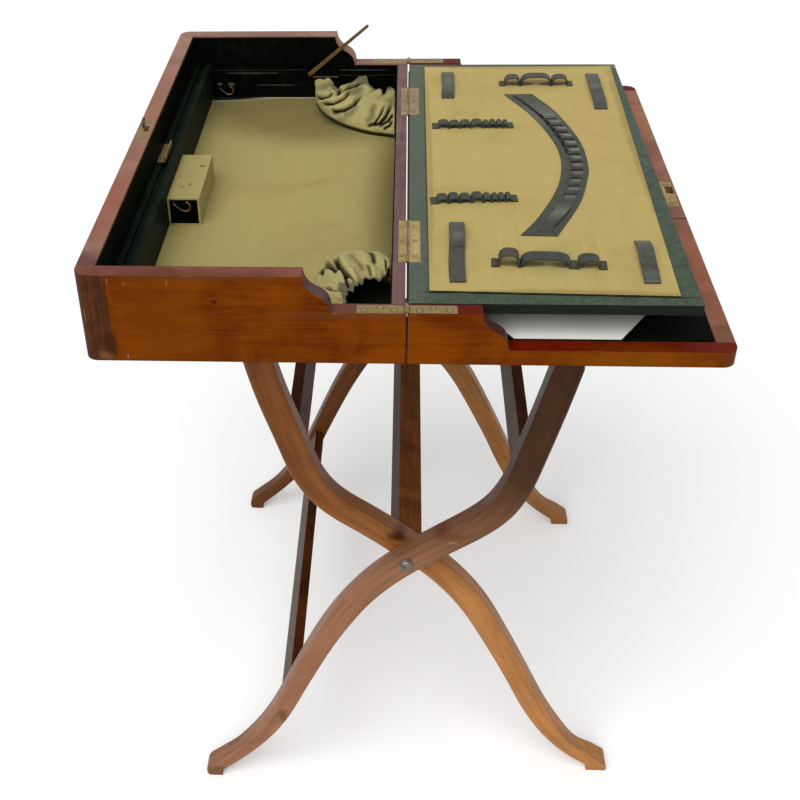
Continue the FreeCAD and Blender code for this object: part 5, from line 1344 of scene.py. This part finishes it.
class BuildHooks(bpy.types.Operator):
    """Wire hooks in the well and the iron hook of the lock"""
    bl_idname = "desk.build_hooks"
    bl_label = "Hooks"

    LOOSE = ((0, 0, 0), (0.0010, -0.0030, -0.0005), (0.0040, -0.0042, -0.0030),
             (0.0075, -0.0036, -0.0062), (0.0110, -0.0040, -0.0078))
    BEND = ((0.0105, -0.0040, -0.0078), (0.0150, -0.0042, -0.0075), (0.0178, -0.0042, -0.0040),
            (0.0172, -0.0042, 0.0005), (0.0140, -0.0042, 0.0028))

    def execute(self, context):
        wire = context.scene.desk_sizes.wire
        pale = bmesh.new()
        brass = bmesh.new()
        for x, y, z in ((-0.244, BACK_LINING, 0.7090), (-0.246, CASE_FACE, 0.7220)):
            for mesh, points, radius in ((pale, self.LOOSE, wire), (brass, self.BEND, wire * 1.35)):
                path = smooth_path([Vector(point) + Vector((x, y, z)) for point in points], 18)
                add_tube(mesh, path, radius)
        for left, right in ((-0.2465, -0.2405), (-0.2325, -0.2245)):
            add_block(pale, (left, BACK_LINING - 0.0006, 0.7115), (right, BACK_LINING, 0.7150))
        # The pale grey of the loose wire is a painted highlight on the brass hook.
        finish_piece("hook_wires", pale, "Pale wire", "well", ("wire_hooks",), bevel=0.0001)
        finish_piece("hook_bends", brass, "Brown brass", "well", bevel=0.0001)
        self.lock_hook()
        return {"FINISHED"}

    def lock_hook(self):
        """Flat iron spike with a barb, standing in the lock plate."""
        low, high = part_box("lock_hook")
        middle = (low.x + high.x) / 2
        outline = ((low.y + 0.001, low.z), (low.y + 0.0075, low.z), (low.y + 0.0070, low.z + 0.0055),
                   (high.y, low.z + 0.0062), (low.y + 0.0045, high.z), (low.y, low.z + 0.0060))
        mesh = bmesh.new()
        skin(mesh, [[mesh.verts.new((middle + side, y, z)) for y, z in outline] for side in (-0.001, 0.001)])
        finish_piece("lock_spike", mesh, "Rusty iron", "well", ("lock_hook",), bevel=0.0004)


class BuildLiningSeams(bpy.types.Operator):
    """Thin worn seams of the lining on the back wall"""
    bl_idname = "desk.build_lining_seams"
    bl_label = "Lining seams"

    def execute(self, context):
        mesh = bmesh.new()
        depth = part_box("side_linings")[1].y - 0.00095
        for left, right, level in ((-0.261, -0.130, 0.732), (-0.088, -0.016, 0.725)):
            places = [left + (right - left) * step / 23 for step in range(24)]
            path = [Vector((x, depth, level + 0.0006 * wander(x * 60, 0, 0))) for x in places]
            add_tube(mesh, path, 0.0004, 6)
        finish_piece("lining_seams", mesh, "Seam leather", "well")
        return {"FINISHED"}


class BuildStage(bpy.types.Operator):
    """Pale floor, soft lamp and the camera"""
    bl_idname = "desk.build_stage"
    bl_label = "Stage"

    def floor(self, glow):
        """Wide pale floor, lifted towards white where the camera sees it."""
        mesh = bmesh.new()
        bmesh.ops.create_grid(mesh, x_segments=1, y_segments=1, size=25.0)
        floor = mesh_object("floor", mesh)
        material = bpy.data.materials.new("Pale floor")
        material.use_nodes = True
        tree = material.node_tree
        shader = tree.nodes["Principled BSDF"]
        for socket, value in (("Base Color", (0.93, 0.93, 0.93, 1)), ("Roughness", 0.9),
                              ("Specular IOR Level", 0.0), ("Emission Color", WHITE)):
            shader.inputs[socket].default_value = value
        seen = put(tree, "ShaderNodeLightPath").outputs["Is Camera Ray"]
        tree.links.new(maths(tree, "MULTIPLY", seen, glow), shader.inputs["Emission Strength"])
        floor.data.materials.append(material)

    def world(self, strength):
        """Even light that shows as white to the camera and in reflections."""
        world = bpy.data.worlds.new("Studio")
        bpy.context.scene.world = world
        world.use_nodes = True
        tree = world.node_tree
        seen = put(tree, "ShaderNodeLightPath").outputs
        plain = maths(tree, "MAXIMUM", seen["Is Camera Ray"],
                      maths(tree, "MAXIMUM", seen["Is Glossy Ray"], seen["Is Transmission Ray"]))
        light = maths(tree, "MULTIPLY_ADD", plain, 1.0 - strength, strength)
        back = tree.nodes["Background"]
        back.inputs["Color"].default_value = WHITE
        tree.links.new(light, back.inputs["Strength"])

    def lamp(self, stage):
        """Wide soft lamp from above the front left."""
        data = bpy.data.lights.new("lamp", "SUN")
        data.energy = stage.lamp_light
        data.angle = stage.lamp_spread
        lamp = new_object("lamp", data)
        lamp.rotation_euler = Vector((0.25, 0.75, -0.90)).to_track_quat("-Z", "Y").to_euler()

    def camera(self, stage):
        """Camera from yaw, pitch and roll."""
        yaw = stage.camera_yaw
        pitch = stage.camera_pitch
        lean = stage.camera_roll
        ahead = Vector((math.sin(yaw) * math.cos(pitch), math.cos(yaw) * math.cos(pitch),
                        -math.sin(pitch)))
        level = Vector((math.cos(yaw), -math.sin(yaw), 0))
        above = level.cross(ahead)
        right = level * math.cos(lean) + above * math.sin(lean)
        up = above * math.cos(lean) - level * math.sin(lean)
        data = bpy.data.cameras.new("camera")
        data.sensor_width = 36.0
        data.lens = stage.focal_length
        data.shift_x = stage.shift_across
        data.shift_y = stage.shift_up
        camera = new_object("camera", data)
        turn = Matrix((right, up, -ahead)).transposed().to_4x4()
        camera.matrix_world = Matrix.Translation(stage.camera_place) @ turn
        bpy.context.scene.camera = camera

    def execute(self, context):
        stage = context.scene.desk_stage
        self.floor(stage.floor_glow)
        self.world(stage.world_light)
        self.lamp(stage)
        self.camera(stage)
        context.scene.view_settings.view_transform = "Standard"
        return {"FINISHED"}


class DeskPanel(bpy.types.Panel):
    """Sidebar panel with the desk's pieces"""
    bl_idname = "VIEW3D_PT_desk"
    bl_label = "Campaign desk"
    bl_space_type = "VIEW_3D"
    bl_region_type = "UI"
    bl_category = "Desk"

    def draw(self, context):
        for operator in OPERATORS:
            self.layout.operator(operator.bl_idname)
        for group in (context.scene.desk_colours, context.scene.desk_sizes, context.scene.desk_stage):
            for name in group.__annotations__:
                self.layout.prop(group, name)


OPERATORS = (DressFrame, BuildSilkPockets, BuildLoops, BuildStraps, BuildCrescent, BuildScrews, BuildHooks,
             BuildLiningSeams, BuildStage)
GROUPS = {"desk_colours": DeskColours, "desk_sizes": DeskSizes, "desk_stage": DeskStage}


def register():
    """Register the classes and hang the property groups on the scene."""
    for kind in (*GROUPS.values(), *OPERATORS, DeskPanel):
        bpy.utils.register_class(kind)
    for name, kind in GROUPS.items():
        setattr(bpy.types.Scene, name, PointerProperty(type=kind))


def unregister():
    """Undo register."""
    for name in GROUPS:
        delattr(bpy.types.Scene, name)
    for kind in (DeskPanel, *reversed(OPERATORS), *reversed(GROUPS.values())):
        bpy.utils.unregister_class(kind)


def main():
    """Register and build every piece."""
    register()
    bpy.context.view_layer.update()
    bpy.ops.desk.dress_frame()
    bpy.ops.desk.build_silk_pockets()
    bpy.ops.desk.build_loops()
    bpy.ops.desk.build_straps()
    bpy.ops.desk.build_crescent()
    bpy.ops.desk.build_screws()
    bpy.ops.desk.build_hooks()
    bpy.ops.desk.build_lining_seams()
    bpy.ops.desk.build_stage()


if __name__ == "__main__":
    main()
